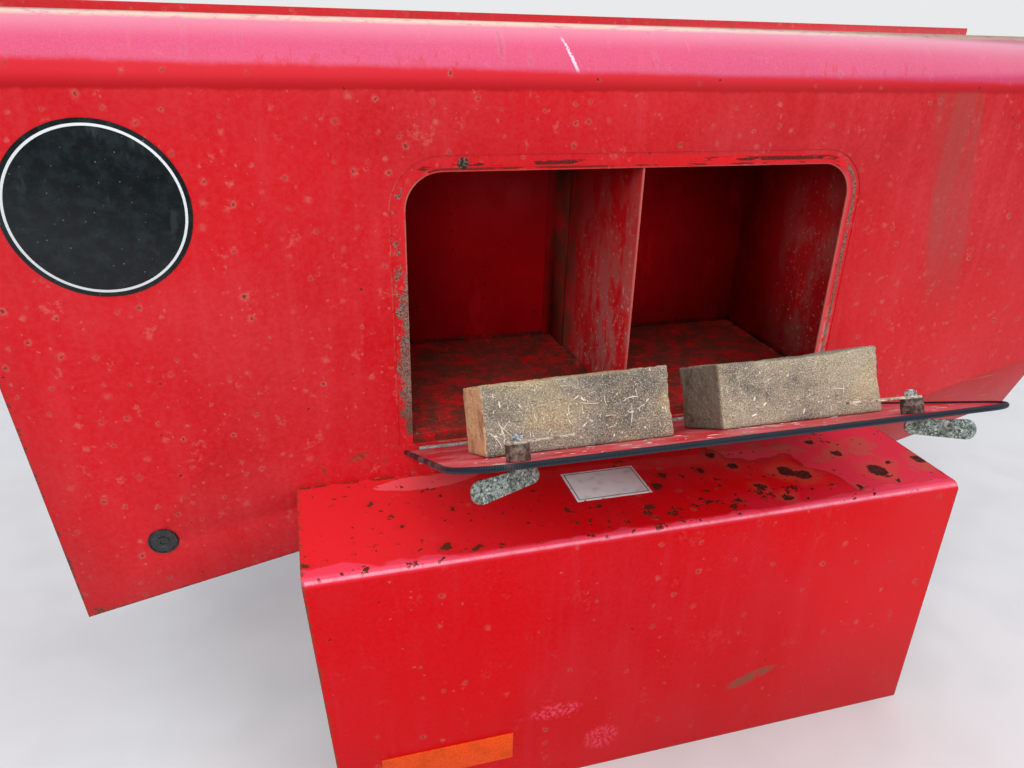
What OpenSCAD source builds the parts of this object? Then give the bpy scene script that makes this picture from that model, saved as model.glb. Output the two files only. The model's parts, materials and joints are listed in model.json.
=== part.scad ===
// Side box of a square baler: a pressed hood with two lined compartments,
// a fold-down door on a knuckle hinge with two turn latches, and the lower side guard.
// The origin is the centre of the four rear bolts, +X runs along the outer face
// to the right, +Y points to the machine and +Z points up.

/* [Hood] */
// Length of the hood along its top edge
hood_len = 1770; // [1500:10:2200]
// Lean of both end edges from upright, in degrees
end_lean = 4.9; // [0:0.1:10]
// Depth from the outer face to the rear bolting plane
hood_depth = 420; // [380:5:520]
// Height of the top face above the rear bolts
hood_top = 312; // [290:1:420]
// Thickness of the hood's sheet
sheet = 3; // [2:0.5:4]
// Outer radius of the rolled top edge
roll_r = 82; // [30:1:100]
// Height of the turned-up edge at the rear of the top
upstand = 16; // [8:1:40]
// Level of the lowest corner, at the left end
low_corner_z = -487; // [-520:1:-440]
// Level of the hood's lower edge behind the guard
mid_edge_z = -378; // [-420:1:-370]
// Distance from the centre to the left bend of the lower edge
left_bend_x = 297; // [200:1:400]
// Distance from the centre to the step of the lower edge
step_x = 452; // [430:1:480]
// Height of that step
step_h = 66; // [40:1:90]
// Slope of the right lower edge, in degrees
fold_slope = 14.2; // [5:0.1:20]
// Depth of the lip along the lower edge
lip_depth = 25; // [15:1:40]
// How far the bevel drops below the fold line
bevel_drop = 150; // [60:1:180]
// How far the bevel runs inwards
bevel_in = 80; // [40:1:120]

/* [Opening] */
// Width of the opening
open_w = 674; // [600:1:720]
// Level of the opening's lower edge
open_low_z = -262; // [-275:1:-250]
// Level of the opening's upper edge
open_top_z = 133; // [110:1:180]
// Radius of the opening's upper corners
open_r = 50; // [20:1:80]
// Depth of the turned-in rim from the outer face
rim_depth = 4; // [4:0.5:8]
// Width of the pressed seat round the opening
seat_w = 21; // [8:1:30]
// Depth of that seat
seat_dip = 1.2; // [0.4:0.2:2]

/* [Compartments] */
// Distance from the opening's side to the side wall
wall_offset = 53; // [10:1:80]
// Depth of the compartments behind the outer face
liner_depth = 360; // [300:1:360]
// Height of the floor above the opening's lower edge
floor_step = 16; // [4:1:40]
// Offset of the divider from the centre
divider_x = -2; // [-20:1:20]
// Width of the angle strip that fixes the divider
angle_leg = 70; // [20:1:90]

/* [Door] */
// Width of the door sheet
door_w = 703; // [690:1:740]
// Height of the door sheet from the hinge axis
door_h = 405; // [400:1:440]
// Thickness of the door sheet
door_t = 2.5; // [2:0.5:4]
// Radius of the door's free corners
door_r = 60; // [30:1:90]
// Angle between the closed door and the open door, in degrees
door_open = 64; // [50:1:80]
// Diameter of the rubber edge trim
trim_d = 7.6; // [6:0.2:11]
// Thickness of the strip that carries the hinge
sill_t = 4.5; // [4:0.5:10]
// Outer radius of the hinge knuckles
knuckle_r = 4.5; // [4.5:0.5:6]
// Radius of the hinge pin
pin_r = 2.25; // [2:0.25:3]
// Length of one hinge knuckle
knuckle_len = 60; // [40:1:80]
// Number of hinge knuckles
knuckles = 11; // [5:2:15]

/* [Foam blocks] */
// Length of a foam block along the door
foam_len = 235; // [200:1:240]
// Thickness of a foam block, measured up the door
foam_t = 104; // [60:1:130]
// Height of a foam block above the door sheet
foam_h = 87; // [60:1:110]
// Distance from the hinge axis to the foam's far face
foam_far = 292; // [200:1:300]
// Gap between the two blocks
foam_gap = 64; // [60:1:90]
// Offset of the gap's middle from the centre
foam_mid = -27; // [-40:1:0]

/* [Latches] */
// Distance from the door's free edge to the latch bolts
latch_in = 39; // [34:1:60]
// Distance from the door's left side to the left latch
latch_left_in = 76; // [70:1:150]
// Distance from the door's right side to the right latch
latch_right_in = 134; // [70:1:150]
// Turn of the open latches from the hinge line, in degrees
latch_turn = 18; // [0:1:30]
// Radius of the latch bolt
bolt_r = 4; // [3:0.5:5]
// Clearance between the turned tongue and the rim of the opening
tongue_gap = 5; // [3:0.5:12]
// Outer radius of the spacer tube
spacer_r = 13; // [8:0.5:14]
// Reach of the tongue from the bolt
tongue_len = 76; // [60:1:84]
// Length of the wing handle
wing_len = 82; // [50:1:90]
// Height of the wing handle's broad end
wing_h = 24; // [20:1:36]

/* [Guard] */
// Length of the guard along its top
guard_len = 978; // [900:1:1010]
// Offset of the guard's middle from the centre
guard_x = -21; // [-40:1:0]
// Level of the guard's top face
guard_top = -313; // [-330:1:-313]
// How far the guard stands out from the hood
guard_out = 220; // [150:1:260]
// Height of the guard's front face
guard_h = 437; // [300:1:460]
// Lean of the guard's left end from upright, in degrees
guard_lean = 3.65; // [0:0.05:10]
// Outer radius of the guard's bend
guard_r = 12; // [8:1:50]

/* [Mounting] */
// Distance between the two rear rails
rail_gap = 600; // [500:10:640]
// Distance between the two bolts of a rail
rail_bolts = 400; // [300:10:440]
// Radius of the holes for the rear bolts
rail_hole_r = 6.5; // [5:0.5:9]
// Width of a rail
rail_w = 60; // [50:1:80]
// Wall thickness of a rail
rail_t = 4; // [3:0.5:6]

/* [Fittings] */
// Diameter of the round disc
disc_d = 209; // [100:1:240]
// Distance from the hood's top left corner to the disc's middle
disc_in = 186; // [130:1:260]
// Distance from the top face down to the disc's middle
disc_down = 215; // [180:1:300]
// Diameter of the plug below the disc
plug_d = 41; // [30:1:50]
// Height of the plug above the lowest corner
plug_up = 114; // [60:1:160]
// Length of the reflector strip
reflector_len = 193; // [100:1:240]
// Height of the reflector strip
reflector_h = 50; // [20:1:70]
// Height of the reflector strip above the guard's foot
reflector_up = 60; // [10:1:120]
// Distance from the reflector strip to the guard's left foot
reflector_in = 54; // [20:1:120]
// Length of the blank plate
plate_len = 117; // [60:1:160]
// Width of the blank plate
plate_w = 77; // [40:1:90]
// Distance from the outer face to the plate's middle
plate_out = 92; // [60:1:150]
// Distance from the guard's middle to the plate's middle, to the left
plate_left = 42; // [0:1:200]
// Radius of the screw head above the opening
screw_r = 7.5; // [4:0.5:9]
// Distance from the opening's left side to that screw
screw_in = 77; // [40:1:120]

/* [Hidden] */
$fn = 64;

paint = "crimson";
zinc = "lightsteelblue";
black = "dimgray";
seat = 0.3;          // clearance of a piece from what it rests or turns on
run = 0.1;           // radial clearance of a pin or bolt in its hole
over = 1;            // how far a cut runs past the surface

face_y = -hood_depth;
inner_y = face_y + sheet;
roof_z = hood_top - sheet;
half_top = hood_len / 2;
half_low = half_top - (hood_top - low_corner_z) * tan(end_lean);
fold_z0 = mid_edge_z + step_h;
fold_x1 = (half_top - (hood_top - fold_z0 + step_x * tan(fold_slope)) * tan(end_lean))
    / (1 - tan(fold_slope) * tan(end_lean));
fold_z1 = fold_z0 + (fold_x1 - step_x) * tan(fold_slope);
end_run = sheet / cos(end_lean);

bevel_foot = 20;
wall_x = open_w / 2 + wall_offset;
floor_z = open_low_z + floor_step;
floor_turn = 30;
short_leg = 20;
back_y = face_y + liner_depth;
liner_front = face_y + rim_depth;

hinge_y = face_y - sill_t - knuckle_r;
hinge_z = open_low_z - 4;
hinge_len = knuckles * knuckle_len;
leaf_w = 27;
leaf_t = knuckle_r - door_t;
heel_gap = face_y - hinge_y - seat;
lug_x = hinge_len / 2 + 8;
lug_t = 4;
lug_up = 52;
lug_near = -8;
lug_far = -15;

foam_z = foam_far - foam_t;
latch_v = door_h - latch_in;
latch_left_x = latch_left_in - door_w / 2;
latch_right_x = door_w / 2 - latch_right_in;
wing_t = 3;
wing_y = -door_t - seat - wing_t;
wing_side = 9;
wing_drop = 6;
wing_root_r = 9;
wing_in = 16;
flange_w = 26;
tongue_t = 3;
tongue_w = 14;
head_h = 6;
head_r = 2 * bolt_r - 0.5;
head_flat_r = 0.86 * head_r;
tongue_y = liner_front + tongue_gap - hinge_y;
nut_y = tongue_y + tongue_t;
bolt_tip = nut_y + head_h + bolt_r / 2;

guard_y = face_y - guard_out;
guard_low = guard_top - guard_h;
guard_half = guard_len / 2;
guard_foot_x = guard_x - guard_half + guard_h * tan(guard_lean);
guard_run = sheet / cos(guard_lean);
guard_foot = 22;
gusset_top = 120;
gusset_low = 80;
flange_h = 40;
guard_bolts_n = 4;
guard_bolt_in = 86;
guard_bolt_z = guard_top - flange_h / 2 - sheet;
rail_low = floor_z - floor_turn;

disc_x = disc_in - half_top;
disc_z = hood_top - disc_down;
disc_t = 1;
plug_z = low_corner_z + plug_up;
plug_hole_r = plug_d / 3;
plug_in = 5;
plug_out = 1.5;
plug_ring = 2;
plug_boss_r = plug_d / 5;
screw_z = open_top_z + seat_w / 2;
screw_out = 2.4;
screw_rim = 0.6;
reflector_x = guard_foot_x + reflector_in;
reflector_t = 2;
plate_x = guard_x - plate_left;
plate_t = 0.8;

// Extrudes a profile drawn in Y and Z from x0 to x1.
module along_x(x0, x1) {
    translate([x0, 0, 0]) rotate([90, 0, 90]) linear_extrude(x1 - x0) children();
}

// Extrudes a profile drawn in X and Z from y0 to y1.
module along_y(y0, y1) {
    translate([0, y1, 0]) rotate([90, 0, 0]) linear_extrude(y1 - y0) children();
}

// Outline of the hood's outer face, in X and Z.
module hood_outline() {
    polygon([
        [-half_top, hood_top], [-half_low, low_corner_z], [-left_bend_x, mid_edge_z],
        [step_x, mid_edge_z], [step_x, fold_z0], [fold_x1, fold_z1], [half_top, hood_top]
    ]);
}

// Space under a sheet with one rolled corner, in Y and Z, reaching down to z_low.
module rolled(y_front, z_top, r, z_low) {
    translate([y_front + r, z_top - r]) circle(r, $fn = 96);
    translate([y_front + r, z_low]) square([-y_front - r, z_top - z_low]);
    translate([y_front, z_low]) square([r + over, z_top - r - z_low]);
}

// Room inside the hood, which trims what fits against its roof and roll.
module hood_room() {
    along_x(-half_top, half_top) rolled(inner_y, roof_z, roll_r - sheet, low_corner_z);
}

// Outline of the opening grown by g, with round upper corners, in X and Z.
module opening(g) {
    w = open_w + 2 * g;
    r = open_r + g;
    low = open_low_z - g;
    top = open_top_z + g;
    translate([-w / 2, low]) square([w, top - r - low]);
    translate([-w / 2 + r, low]) square([w - 2 * r, top - low]);
    for (side = [-1, 1]) translate([side * (w / 2 - r), top - r]) circle(r);
}

// Pressed seat beside and above the opening, in X and Z.
module seat_band() {
    difference() {
        opening(seat_w);
        translate([-wall_x, open_low_z - 2 * seat_w]) square([2 * wall_x, 2 * seat_w]);
    }
}

// Cylinder along Y from y0 to y1.
module rod(r, y0, y1, sides = 48) {
    translate([0, y1, 0]) rotate([90, 0, 0]) cylinder(r = r, h = y1 - y0, $fn = sides);
}

// Hexagon along Y from y0 to y1, chamfered at its free end; end is -1 for y0 and 1 for y1.
module hex_head(y0, y1, end) {
    wide_r = head_flat_r + (y1 - y0) / tan(30);
    intersection() {
        rod(head_r, y0, y1, 6);
        translate([0, y1, 0]) rotate([90, 0, 0]) cylinder(
            r1 = end > 0 ? head_flat_r : wide_r, r2 = end > 0 ? wide_r : head_flat_r, h = y1 - y0);
    }
}

// Places its children at each of the guard's bolts.
module at_guard_bolts() {
    first = guard_x - guard_half + guard_bolt_in;
    pitch = (guard_len - 2 * guard_bolt_in) / (guard_bolts_n - 1);
    for (i = [0:guard_bolts_n - 1]) translate([first + i * pitch, 0, guard_bolt_z]) children();
}

module hood_shell() {
    color(paint) difference() {
        union() {
            intersection() {
                along_x(-half_top, half_top) difference() {
                    rolled(face_y, hood_top, roll_r, low_corner_z);
                    translate([0, -over]) rolled(inner_y, roof_z + over, roll_r - sheet, low_corner_z);
                }
                along_y(face_y, 0) hood_outline();
            }
            along_y(face_y, liner_front) {
                opening(sheet);
                seat_band();
            }
            translate([-half_top, -sheet, hood_top]) cube([hood_len, sheet, upstand]);
        }
        along_y(face_y - over, liner_front + over) opening(0);
        along_y(face_y - over, face_y + seat_dip) seat_band();
        translate([disc_x, inner_y + over, plug_z]) rotate([90, 0, 0])
            cylinder(r = plug_hole_r, h = sheet + 2 * over);
        at_guard_bolts() rod(bolt_r + run, face_y - over, inner_y + over);
    }
}

// Lip turned inwards along the lower edge, left of the step.
module lower_lip() {
    color(paint) along_y(inner_y, inner_y + lip_depth) intersection() {
        difference() {
            hood_outline();
            translate([0, sheet]) hood_outline();
        }
        translate([end_run, 0]) hood_outline();
        translate([-half_top, low_corner_z]) square([half_top + step_x, fold_z0 - low_corner_z - sheet]);
    }
}

// Sloping panel below the fold line, turned inwards at its foot.
module bevel_panel() {
    foot = bevel_foot;
    length = (fold_x1 - end_run - step_x) / cos(fold_slope);
    color(paint) translate([step_x, 0, fold_z0]) rotate([0, -fold_slope, 0]) along_x(0, length) polygon([
        [face_y, 0], [face_y + bevel_in, -bevel_drop], [face_y + bevel_in + foot, -bevel_drop],
        [face_y + bevel_in + foot, sheet - bevel_drop], [face_y + bevel_in + sheet, sheet - bevel_drop],
        [inner_y + sheet / 2, 0]
    ]);
}

// Closed end of the hood between x0 and x1; side is -1 on the left and 1 on the right.
module end_panel(side, x0, x1) {
    color(paint) intersection() {
        along_y(inner_y, 0) intersection() {
            difference() {
                hood_outline();
                translate([-side * end_run, 0]) hood_outline();
            }
            translate([x0, low_corner_z]) square([x1 - x0, hood_top - low_corner_z]);
        }
        hood_room();
    }
}

module end_panel_left() { end_panel(-1, -half_top, -left_bend_x); }

module end_panel_right() { end_panel(1, fold_x1 - end_run, half_top); }

// Floor of both compartments, turned down at the front.
module liner_floor() {
    color(paint) along_x(-wall_x, wall_x) {
        translate([liner_front, floor_z - sheet]) square([back_y - liner_front, sheet]);
        translate([liner_front, floor_z - floor_turn]) square([sheet, floor_turn]);
    }
}

module liner_back() {
    color(paint) translate([-wall_x - sheet, back_y, floor_z - sheet])
        cube([2 * (wall_x + sheet), sheet, roof_z - floor_z + sheet]);
}

// Upright sheet across the hood, from x to x + sheet, trimmed to the roof and the roll.
module cross_sheet(x, y_front, z_low) {
    color(paint) intersection() {
        translate([x, y_front, z_low]) cube([sheet, back_y - y_front, roof_z - z_low]);
        hood_room();
    }
}

module liner_wall_left() { cross_sheet(-wall_x - sheet, inner_y, floor_z - sheet); }

module liner_wall_right() { cross_sheet(wall_x, inner_y, floor_z - sheet); }

module divider() { cross_sheet(divider_x - sheet / 2, liner_front, floor_z); }

// Angle strip in the rear left corner of the divider.
module divider_angle() {
    edge = divider_x - sheet / 2;
    color(paint) translate([0, 0, floor_z]) linear_extrude(roof_z - floor_z) {
        translate([edge - sheet, back_y - angle_leg]) square([sheet, angle_leg]);
        translate([edge - short_leg, back_y - sheet]) square([short_leg, sheet]);
    }
}

// Channel that stands on the rear bolting plane and carries the compartments.
module rail(side) {
    y0 = back_y + sheet;
    color(paint) translate([side * rail_gap / 2, 0, 0]) difference() {
        translate([-rail_w / 2, y0, rail_low]) cube([rail_w, -y0, roof_z - rail_low]);
        translate([-rail_w / 2 + rail_t, y0 - over, rail_low - over])
            cube([rail_w - 2 * rail_t, -y0 - rail_t + over, roof_z - rail_low + 2 * over]);
        for (z = [-1, 1]) translate([0, over, z * rail_bolts / 2]) rotate([90, 0, 0])
            cylinder(r = rail_hole_r, h = rail_t + 2 * over);
    }
}

module rail_left() { rail(-1); }

module rail_right() { rail(1); }

module sill_strip() {
    top = hinge_z - knuckle_r - over;
    low = hinge_z - leaf_w;
    color(paint) translate([-hinge_len / 2, face_y - sill_t, low]) cube([hinge_len, sill_t, top - low]);
}

// One half of the hinge about the X axis: up is 1 for the door's half, whose leaf lies
// outside the door sheet, and -1 for the hood's half, whose leaf lies on the sill strip.
module hinge_half(up) {
    gap = 0.5;
    pick = up > 0 ? 1 : 0;
    leaf_y = up > 0 ? -knuckle_r : knuckle_r - leaf_t;
    difference() {
        union() {
            translate([-hinge_len / 2, leaf_y, up > 0 ? 0 : -leaf_w])
                cube([hinge_len, leaf_t, leaf_w]);
            translate([-hinge_len / 2, 0, 0]) rotate([0, 90, 0]) cylinder(r = knuckle_r, h = hinge_len);
        }
        for (i = [0:knuckles - 1]) if (i % 2 != pick)
            translate([-hinge_len / 2 + i * knuckle_len - gap, -knuckle_r - over, -knuckle_r - over])
                cube([knuckle_len + 2 * gap, 2 * (knuckle_r + over), 2 * (knuckle_r + over)]);
        translate([-hinge_len / 2 - over, 0, 0]) rotate([0, 90, 0])
            cylinder(r = pin_r + run, h = hinge_len + 2 * over);
    }
}

module at_hinge() { translate([0, hinge_y, hinge_z]) children(); }

// Places what is drawn on the closed door, about the hinge axis, on the open door.
module on_door() { at_hinge() rotate([door_open, 0, 0]) children(); }

module hinge_fixed() { color(zinc) at_hinge() hinge_half(-1); }

module hinge_pin() {
    color(zinc) at_hinge() translate([-hinge_len / 2, 0, 0]) rotate([0, 90, 0])
        cylinder(r = pin_r, h = hinge_len);
}

module hinge_moving() { color(zinc) on_door() hinge_half(1); }

// Low domed screw head in the seat above the opening.
module rim_screw() {
    y = face_y + seat_dip;
    dome = screw_out - screw_rim;
    dome_r = (screw_r * screw_r + dome * dome) / (2 * dome);
    color(zinc) translate([screw_in - open_w / 2, 0, screw_z]) {
        rod(screw_r, y - screw_rim, y);
        intersection() {
            translate([0, y - screw_out + dome_r, 0]) sphere(dome_r);
            rod(screw_r, y - screw_out, y - screw_rim);
        }
    }
}

module marker_disc() {
    color(black) translate([disc_x, face_y, disc_z]) rotate([90, 0, 0])
        cylinder(d = disc_d, h = disc_t, $fn = 96);
}

// Plug that closes the hole below the disc, with a round ring and a hollow boss.
module plug() {
    color(black) translate([disc_x, 0, plug_z]) rotate([90, 0, 0]) rotate_extrude() {
        translate([0, -inner_y - plug_in]) square([plug_hole_r - run, sheet + plug_in]);
        translate([0, -face_y]) square([plug_d / 2, plug_out]);
        translate([plug_d / 2 - plug_ring, plug_out - face_y]) circle(plug_out);
        translate([plug_boss_r / 2, -face_y]) square([plug_boss_r / 2, 2 * plug_out]);
    }
}

// Outline of the guard's front, in X and Z.
module guard_outline() {
    polygon([
        [guard_x - guard_half, guard_top], [guard_foot_x, guard_low],
        [guard_x + guard_half, guard_low], [guard_x + guard_half, guard_top]
    ]);
}

// Space under the guard's bent sheet, in Y and Z, inset by t.
module guard_bend(t) {
    r = guard_r - t;
    y0 = guard_y + t;
    z1 = guard_top - t;
    translate([y0 + r, z1 - r]) circle(r);
    translate([y0 + r, guard_low]) square([face_y - y0 - r, z1 - guard_low]);
    translate([y0, guard_low]) square([r + over, z1 - r - guard_low]);
}

// Guard bent from one sheet, with a foot below and a bolted flange at the hood.
module guard_shell() {
    color(paint) difference() {
        intersection() {
            along_x(guard_x - guard_half, guard_x + guard_half) union() {
                difference() {
                    guard_bend(0);
                    guard_bend(sheet);
                }
                translate([face_y - sheet, guard_top - flange_h]) square([sheet, flange_h]);
                translate([guard_y, guard_low]) square([guard_foot, sheet]);
            }
            along_y(guard_y, face_y) guard_outline();
        }
        at_guard_bolts() rod(bolt_r + run, face_y - sheet - over, face_y + over);
    }
}

// Gusset that closes one end of the guard.
module guard_end(side) {
    color(paint) intersection() {
        along_y(guard_y, face_y) difference() {
            guard_outline();
            translate([-side * guard_run, 0]) guard_outline();
            translate([guard_x - side * guard_half, guard_low + guard_h / 2])
                square([guard_len * 1.5, guard_h * 1.5], center = true);
        }
        along_x(guard_x - guard_half, guard_x + guard_half) intersection() {
            guard_bend(sheet);
            polygon([
                [guard_y, guard_top], [face_y - sheet, guard_top], [face_y - sheet, guard_top - gusset_top],
                [guard_y + gusset_low, guard_low + sheet], [guard_y, guard_low + sheet]
            ]);
        }
    }
}

module guard_end_left() { guard_end(-1); }

module guard_end_right() { guard_end(1); }

module guard_bolts() {
    color(zinc) at_guard_bolts() {
        rod(bolt_r, face_y - sheet, inner_y + head_h + bolt_r / 2);
        hex_head(face_y - sheet - head_h, face_y - sheet, -1);
        hex_head(inner_y, inner_y + head_h, 1);
    }
}

module reflector() {
    color("orange") along_y(guard_y - reflector_t, guard_y)
        translate([reflector_x, guard_low + reflector_up]) square([reflector_len, reflector_h]);
}

module blank_plate() {
    color("gainsboro") translate([plate_x - plate_len / 2, face_y - plate_out - plate_w / 2, guard_top])
        cube([plate_len, plate_w, plate_t]);
}

// Outline of the door sheet above the hinge axis, in X and Z.
module door_outline() {
    low = knuckle_r + 2 * over;
    translate([-door_w / 2, low]) square([door_w, door_h - door_r - low]);
    translate([-door_w / 2 + door_r, low]) square([door_w - 2 * door_r, door_h - low]);
    for (side = [-1, 1]) translate([side * (door_w / 2 - door_r), door_h - door_r]) circle(door_r);
}

module door_sheet() { along_y(-door_t, 0) door_outline(); }

module door_panel() {
    color(paint) on_door() difference() {
        door_sheet();
        for (x = [latch_left_x, latch_right_x]) translate([x, over, latch_v]) rotate([90, 0, 0])
            cylinder(r = bolt_r + seat, h = door_t + 2 * over);
    }
}

// Round rubber trim that is pushed over the door's three free edges.
module door_trim() {
    r = trim_d / 2;
    start = 3 * knuckle_r;
    bend_z = door_h - door_r;
    color(black) on_door() difference() {
        translate([0, -door_t / 2, 0]) {
            for (side = [-1, 1]) {
                translate([side * door_w / 2, 0, start]) cylinder(r = r, h = bend_z - start);
                translate([side * (door_w / 2 - door_r), 0, bend_z]) rotate([90, side > 0 ? 0 : -90, 0])
                    rotate_extrude(angle = 90) translate([door_r, 0]) circle(r);
            }
            translate([-door_w / 2 + door_r, 0, door_h]) rotate([0, 90, 0])
                cylinder(r = r, h = door_w - 2 * door_r);
        }
        door_sheet();
    }
}

// Level of the lug's heel that meets the outer face when the door is open.
function heel_z(y) = (y * cos(door_open) - heel_gap) / sin(door_open);

// Lug on the door's underside from x0 to x0 + lug_t.
module stop_lug(x0) {
    along_x(x0, x0 + lug_t) polygon([
        [-door_t, lug_up], [-door_t, -knuckle_r], [lug_near, heel_z(lug_near)],
        [lug_far, heel_z(lug_far)], [lug_far, knuckle_r], [lug_near, lug_up]
    ]);
}

module stop_lugs() {
    color(paint) on_door() {
        stop_lug(-lug_x - lug_t);
        stop_lug(lug_x);
    }
}

module foam(side) {
    x = foam_mid + (side > 0 ? foam_gap / 2 : -foam_gap / 2 - foam_len);
    color("tan") on_door() translate([x, seat, foam_z]) cube([foam_len, foam_h, foam_t]);
}

module foam_left() { foam(-1); }

module foam_right() { foam(1); }

// Places a latch piece, drawn about its bolt; side is -1 on the left and 1 on the right.
module at_latch(side) {
    on_door() translate([side < 0 ? latch_left_x : latch_right_x, 0, latch_v])
        mirror([side > 0 ? 1 : 0, 0, 0]) rotate([0, latch_turn, 0]) children();
}

module latch_bolt(side) {
    color(zinc) at_latch(side) {
        rod(bolt_r, wing_y, bolt_tip);
        hex_head(wing_y - head_h, wing_y, -1);
        hex_head(nut_y, nut_y + head_h, 1);
    }
}

module latch_spacer(side) {
    color(black) at_latch(side) difference() {
        rod(spacer_r, seat, tongue_y);
        rod(bolt_r + run, 0, tongue_y + over);
    }
}

// Flat tongue that turns behind the rim of the opening.
module latch_tongue(side) {
    color(zinc) at_latch(side) difference() {
        along_y(tongue_y, nut_y) {
            circle(spacer_r - 1);
            translate([0, -tongue_w / 2]) square([tongue_len - tongue_w / 2, tongue_w]);
            translate([tongue_len - tongue_w / 2, 0]) circle(tongue_w / 2);
        }
        rod(bolt_r + run, 0, nut_y + over);
    }
}

// Two circles at p and q, of radius rp and rq, with the area between their outer tangents.
module tear(p, rp, q, rq) {
    run_x = q[0] - p[0];
    run_y = q[1] - p[1];
    lean = atan2(run_y, run_x);
    spread = acos((rp - rq) / sqrt(run_x * run_x + run_y * run_y));
    up = [cos(lean + spread), sin(lean + spread)];
    low = [cos(lean - spread), sin(lean - spread)];
    translate(p) circle(rp);
    translate(q) circle(rq);
    polygon([p + rp * up, p + rp * low, q + rq * low, q + rq * up]);
}

// Wing handle: a flange on the bolt with a tear-shaped blade that hangs below the door.
module latch_wing(side) {
    broad_r = wing_h / 2;
    broad = [wing_in - wing_len + broad_r, wing_y - wing_drop - broad_r];
    root = [wing_in - wing_root_r, wing_y - wing_root_r];
    color(zinc) at_latch(side) difference() {
        union() {
            translate([-flange_w / 2, wing_y, -flange_w / 2])
                cube([flange_w, wing_t, flange_w / 2 + wing_side + wing_t]);
            translate([-flange_w / 2, root[1], wing_side])
                cube([root[0] + flange_w / 2, wing_y - root[1] + wing_t, wing_t]);
            translate([0, 0, wing_side]) linear_extrude(wing_t) tear(broad, broad_r, root, wing_root_r);
        }
        rod(bolt_r + run, wing_y - over, wing_y + wing_t + over);
    }
}

module latch_left_bolt() { latch_bolt(-1); }

module latch_left_spacer() { latch_spacer(-1); }

module latch_left_tongue() { latch_tongue(-1); }

module latch_left_wing() { latch_wing(-1); }

module latch_right_bolt() { latch_bolt(1); }

module latch_right_spacer() { latch_spacer(1); }

module latch_right_tongue() { latch_tongue(1); }

module latch_right_wing() { latch_wing(1); }

hood_shell();
lower_lip();
bevel_panel();
end_panel_left();
end_panel_right();
liner_floor();
liner_back();
liner_wall_left();
liner_wall_right();
divider();
divider_angle();
rail_left();
rail_right();
sill_strip();
hinge_fixed();
hinge_pin();
rim_screw();
marker_disc();
plug();
guard_shell();
guard_end_left();
guard_end_right();
guard_bolts();
reflector();
blank_plate();
door_panel();
door_trim();
hinge_moving();
stop_lugs();
foam_left();
foam_right();
latch_left_bolt();
latch_left_spacer();
latch_left_tongue();
latch_left_wing();
latch_right_bolt();
latch_right_spacer();
latch_right_tongue();
latch_right_wing();
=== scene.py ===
# Looks of the side box of a square baler: worn red sheet steel, a padded fold-down door and its latches.
import json
import math

import bpy
import numpy as np
from mathutils import Matrix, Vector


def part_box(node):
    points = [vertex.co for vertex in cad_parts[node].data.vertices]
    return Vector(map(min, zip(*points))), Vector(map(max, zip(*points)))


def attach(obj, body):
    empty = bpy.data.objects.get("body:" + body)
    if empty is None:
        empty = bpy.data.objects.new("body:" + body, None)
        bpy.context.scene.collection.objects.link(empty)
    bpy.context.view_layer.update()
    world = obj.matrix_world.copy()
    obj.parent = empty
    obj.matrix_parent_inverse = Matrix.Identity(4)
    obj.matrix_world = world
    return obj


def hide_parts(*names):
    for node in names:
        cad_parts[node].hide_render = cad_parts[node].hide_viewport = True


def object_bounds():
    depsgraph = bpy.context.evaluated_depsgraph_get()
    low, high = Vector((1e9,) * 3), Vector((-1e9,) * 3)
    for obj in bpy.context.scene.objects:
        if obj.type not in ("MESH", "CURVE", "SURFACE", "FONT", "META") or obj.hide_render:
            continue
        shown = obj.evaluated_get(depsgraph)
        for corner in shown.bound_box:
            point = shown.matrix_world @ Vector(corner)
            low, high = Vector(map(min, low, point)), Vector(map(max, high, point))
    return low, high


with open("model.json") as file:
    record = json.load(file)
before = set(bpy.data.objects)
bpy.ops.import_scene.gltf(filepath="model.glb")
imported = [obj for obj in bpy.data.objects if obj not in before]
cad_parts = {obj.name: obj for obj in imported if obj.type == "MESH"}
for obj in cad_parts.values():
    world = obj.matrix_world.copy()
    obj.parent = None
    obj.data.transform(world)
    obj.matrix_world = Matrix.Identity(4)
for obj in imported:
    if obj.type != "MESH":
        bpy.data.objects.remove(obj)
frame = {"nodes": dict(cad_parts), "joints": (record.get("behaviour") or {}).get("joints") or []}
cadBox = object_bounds()
nodes = frame["nodes"]
print("frame loaded:", len(nodes), "nodes")

# Camera at the photograph's place and angle
camera = dict(place=(-0.4775, -1.420, 0.300), yaw=16.214, pitch=24.642, roll=1.495, lens=27.0)


def makeCamera(s):
    # Looks along yaw and pitch, then turns about that line by roll
    yaw, pitch, roll = (math.radians(s[k]) for k in ("yaw", "pitch", "roll"))
    ahead = np.array([math.sin(yaw) * math.cos(pitch), math.cos(yaw) * math.cos(pitch), -math.sin(pitch)])
    level = np.array([math.cos(yaw), -math.sin(yaw), 0.0])
    above = np.cross(level, ahead)
    right = math.cos(roll) * level + math.sin(roll) * above
    top = math.cos(roll) * above - math.sin(roll) * level
    data = bpy.data.cameras.new("camera")
    data.lens = s["lens"]
    data.sensor_width = 36
    data.clip_start, data.clip_end = 0.02, 60
    eye = bpy.data.objects.new("camera", data)
    bpy.context.scene.collection.objects.link(eye)
    turned = np.eye(4)
    turned[:3, 0], turned[:3, 1], turned[:3, 2], turned[:3, 3] = right, top, -ahead, s["place"]
    eye.matrix_world = Matrix(turned.tolist())
    bpy.context.scene.camera = eye


makeCamera(camera)


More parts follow.
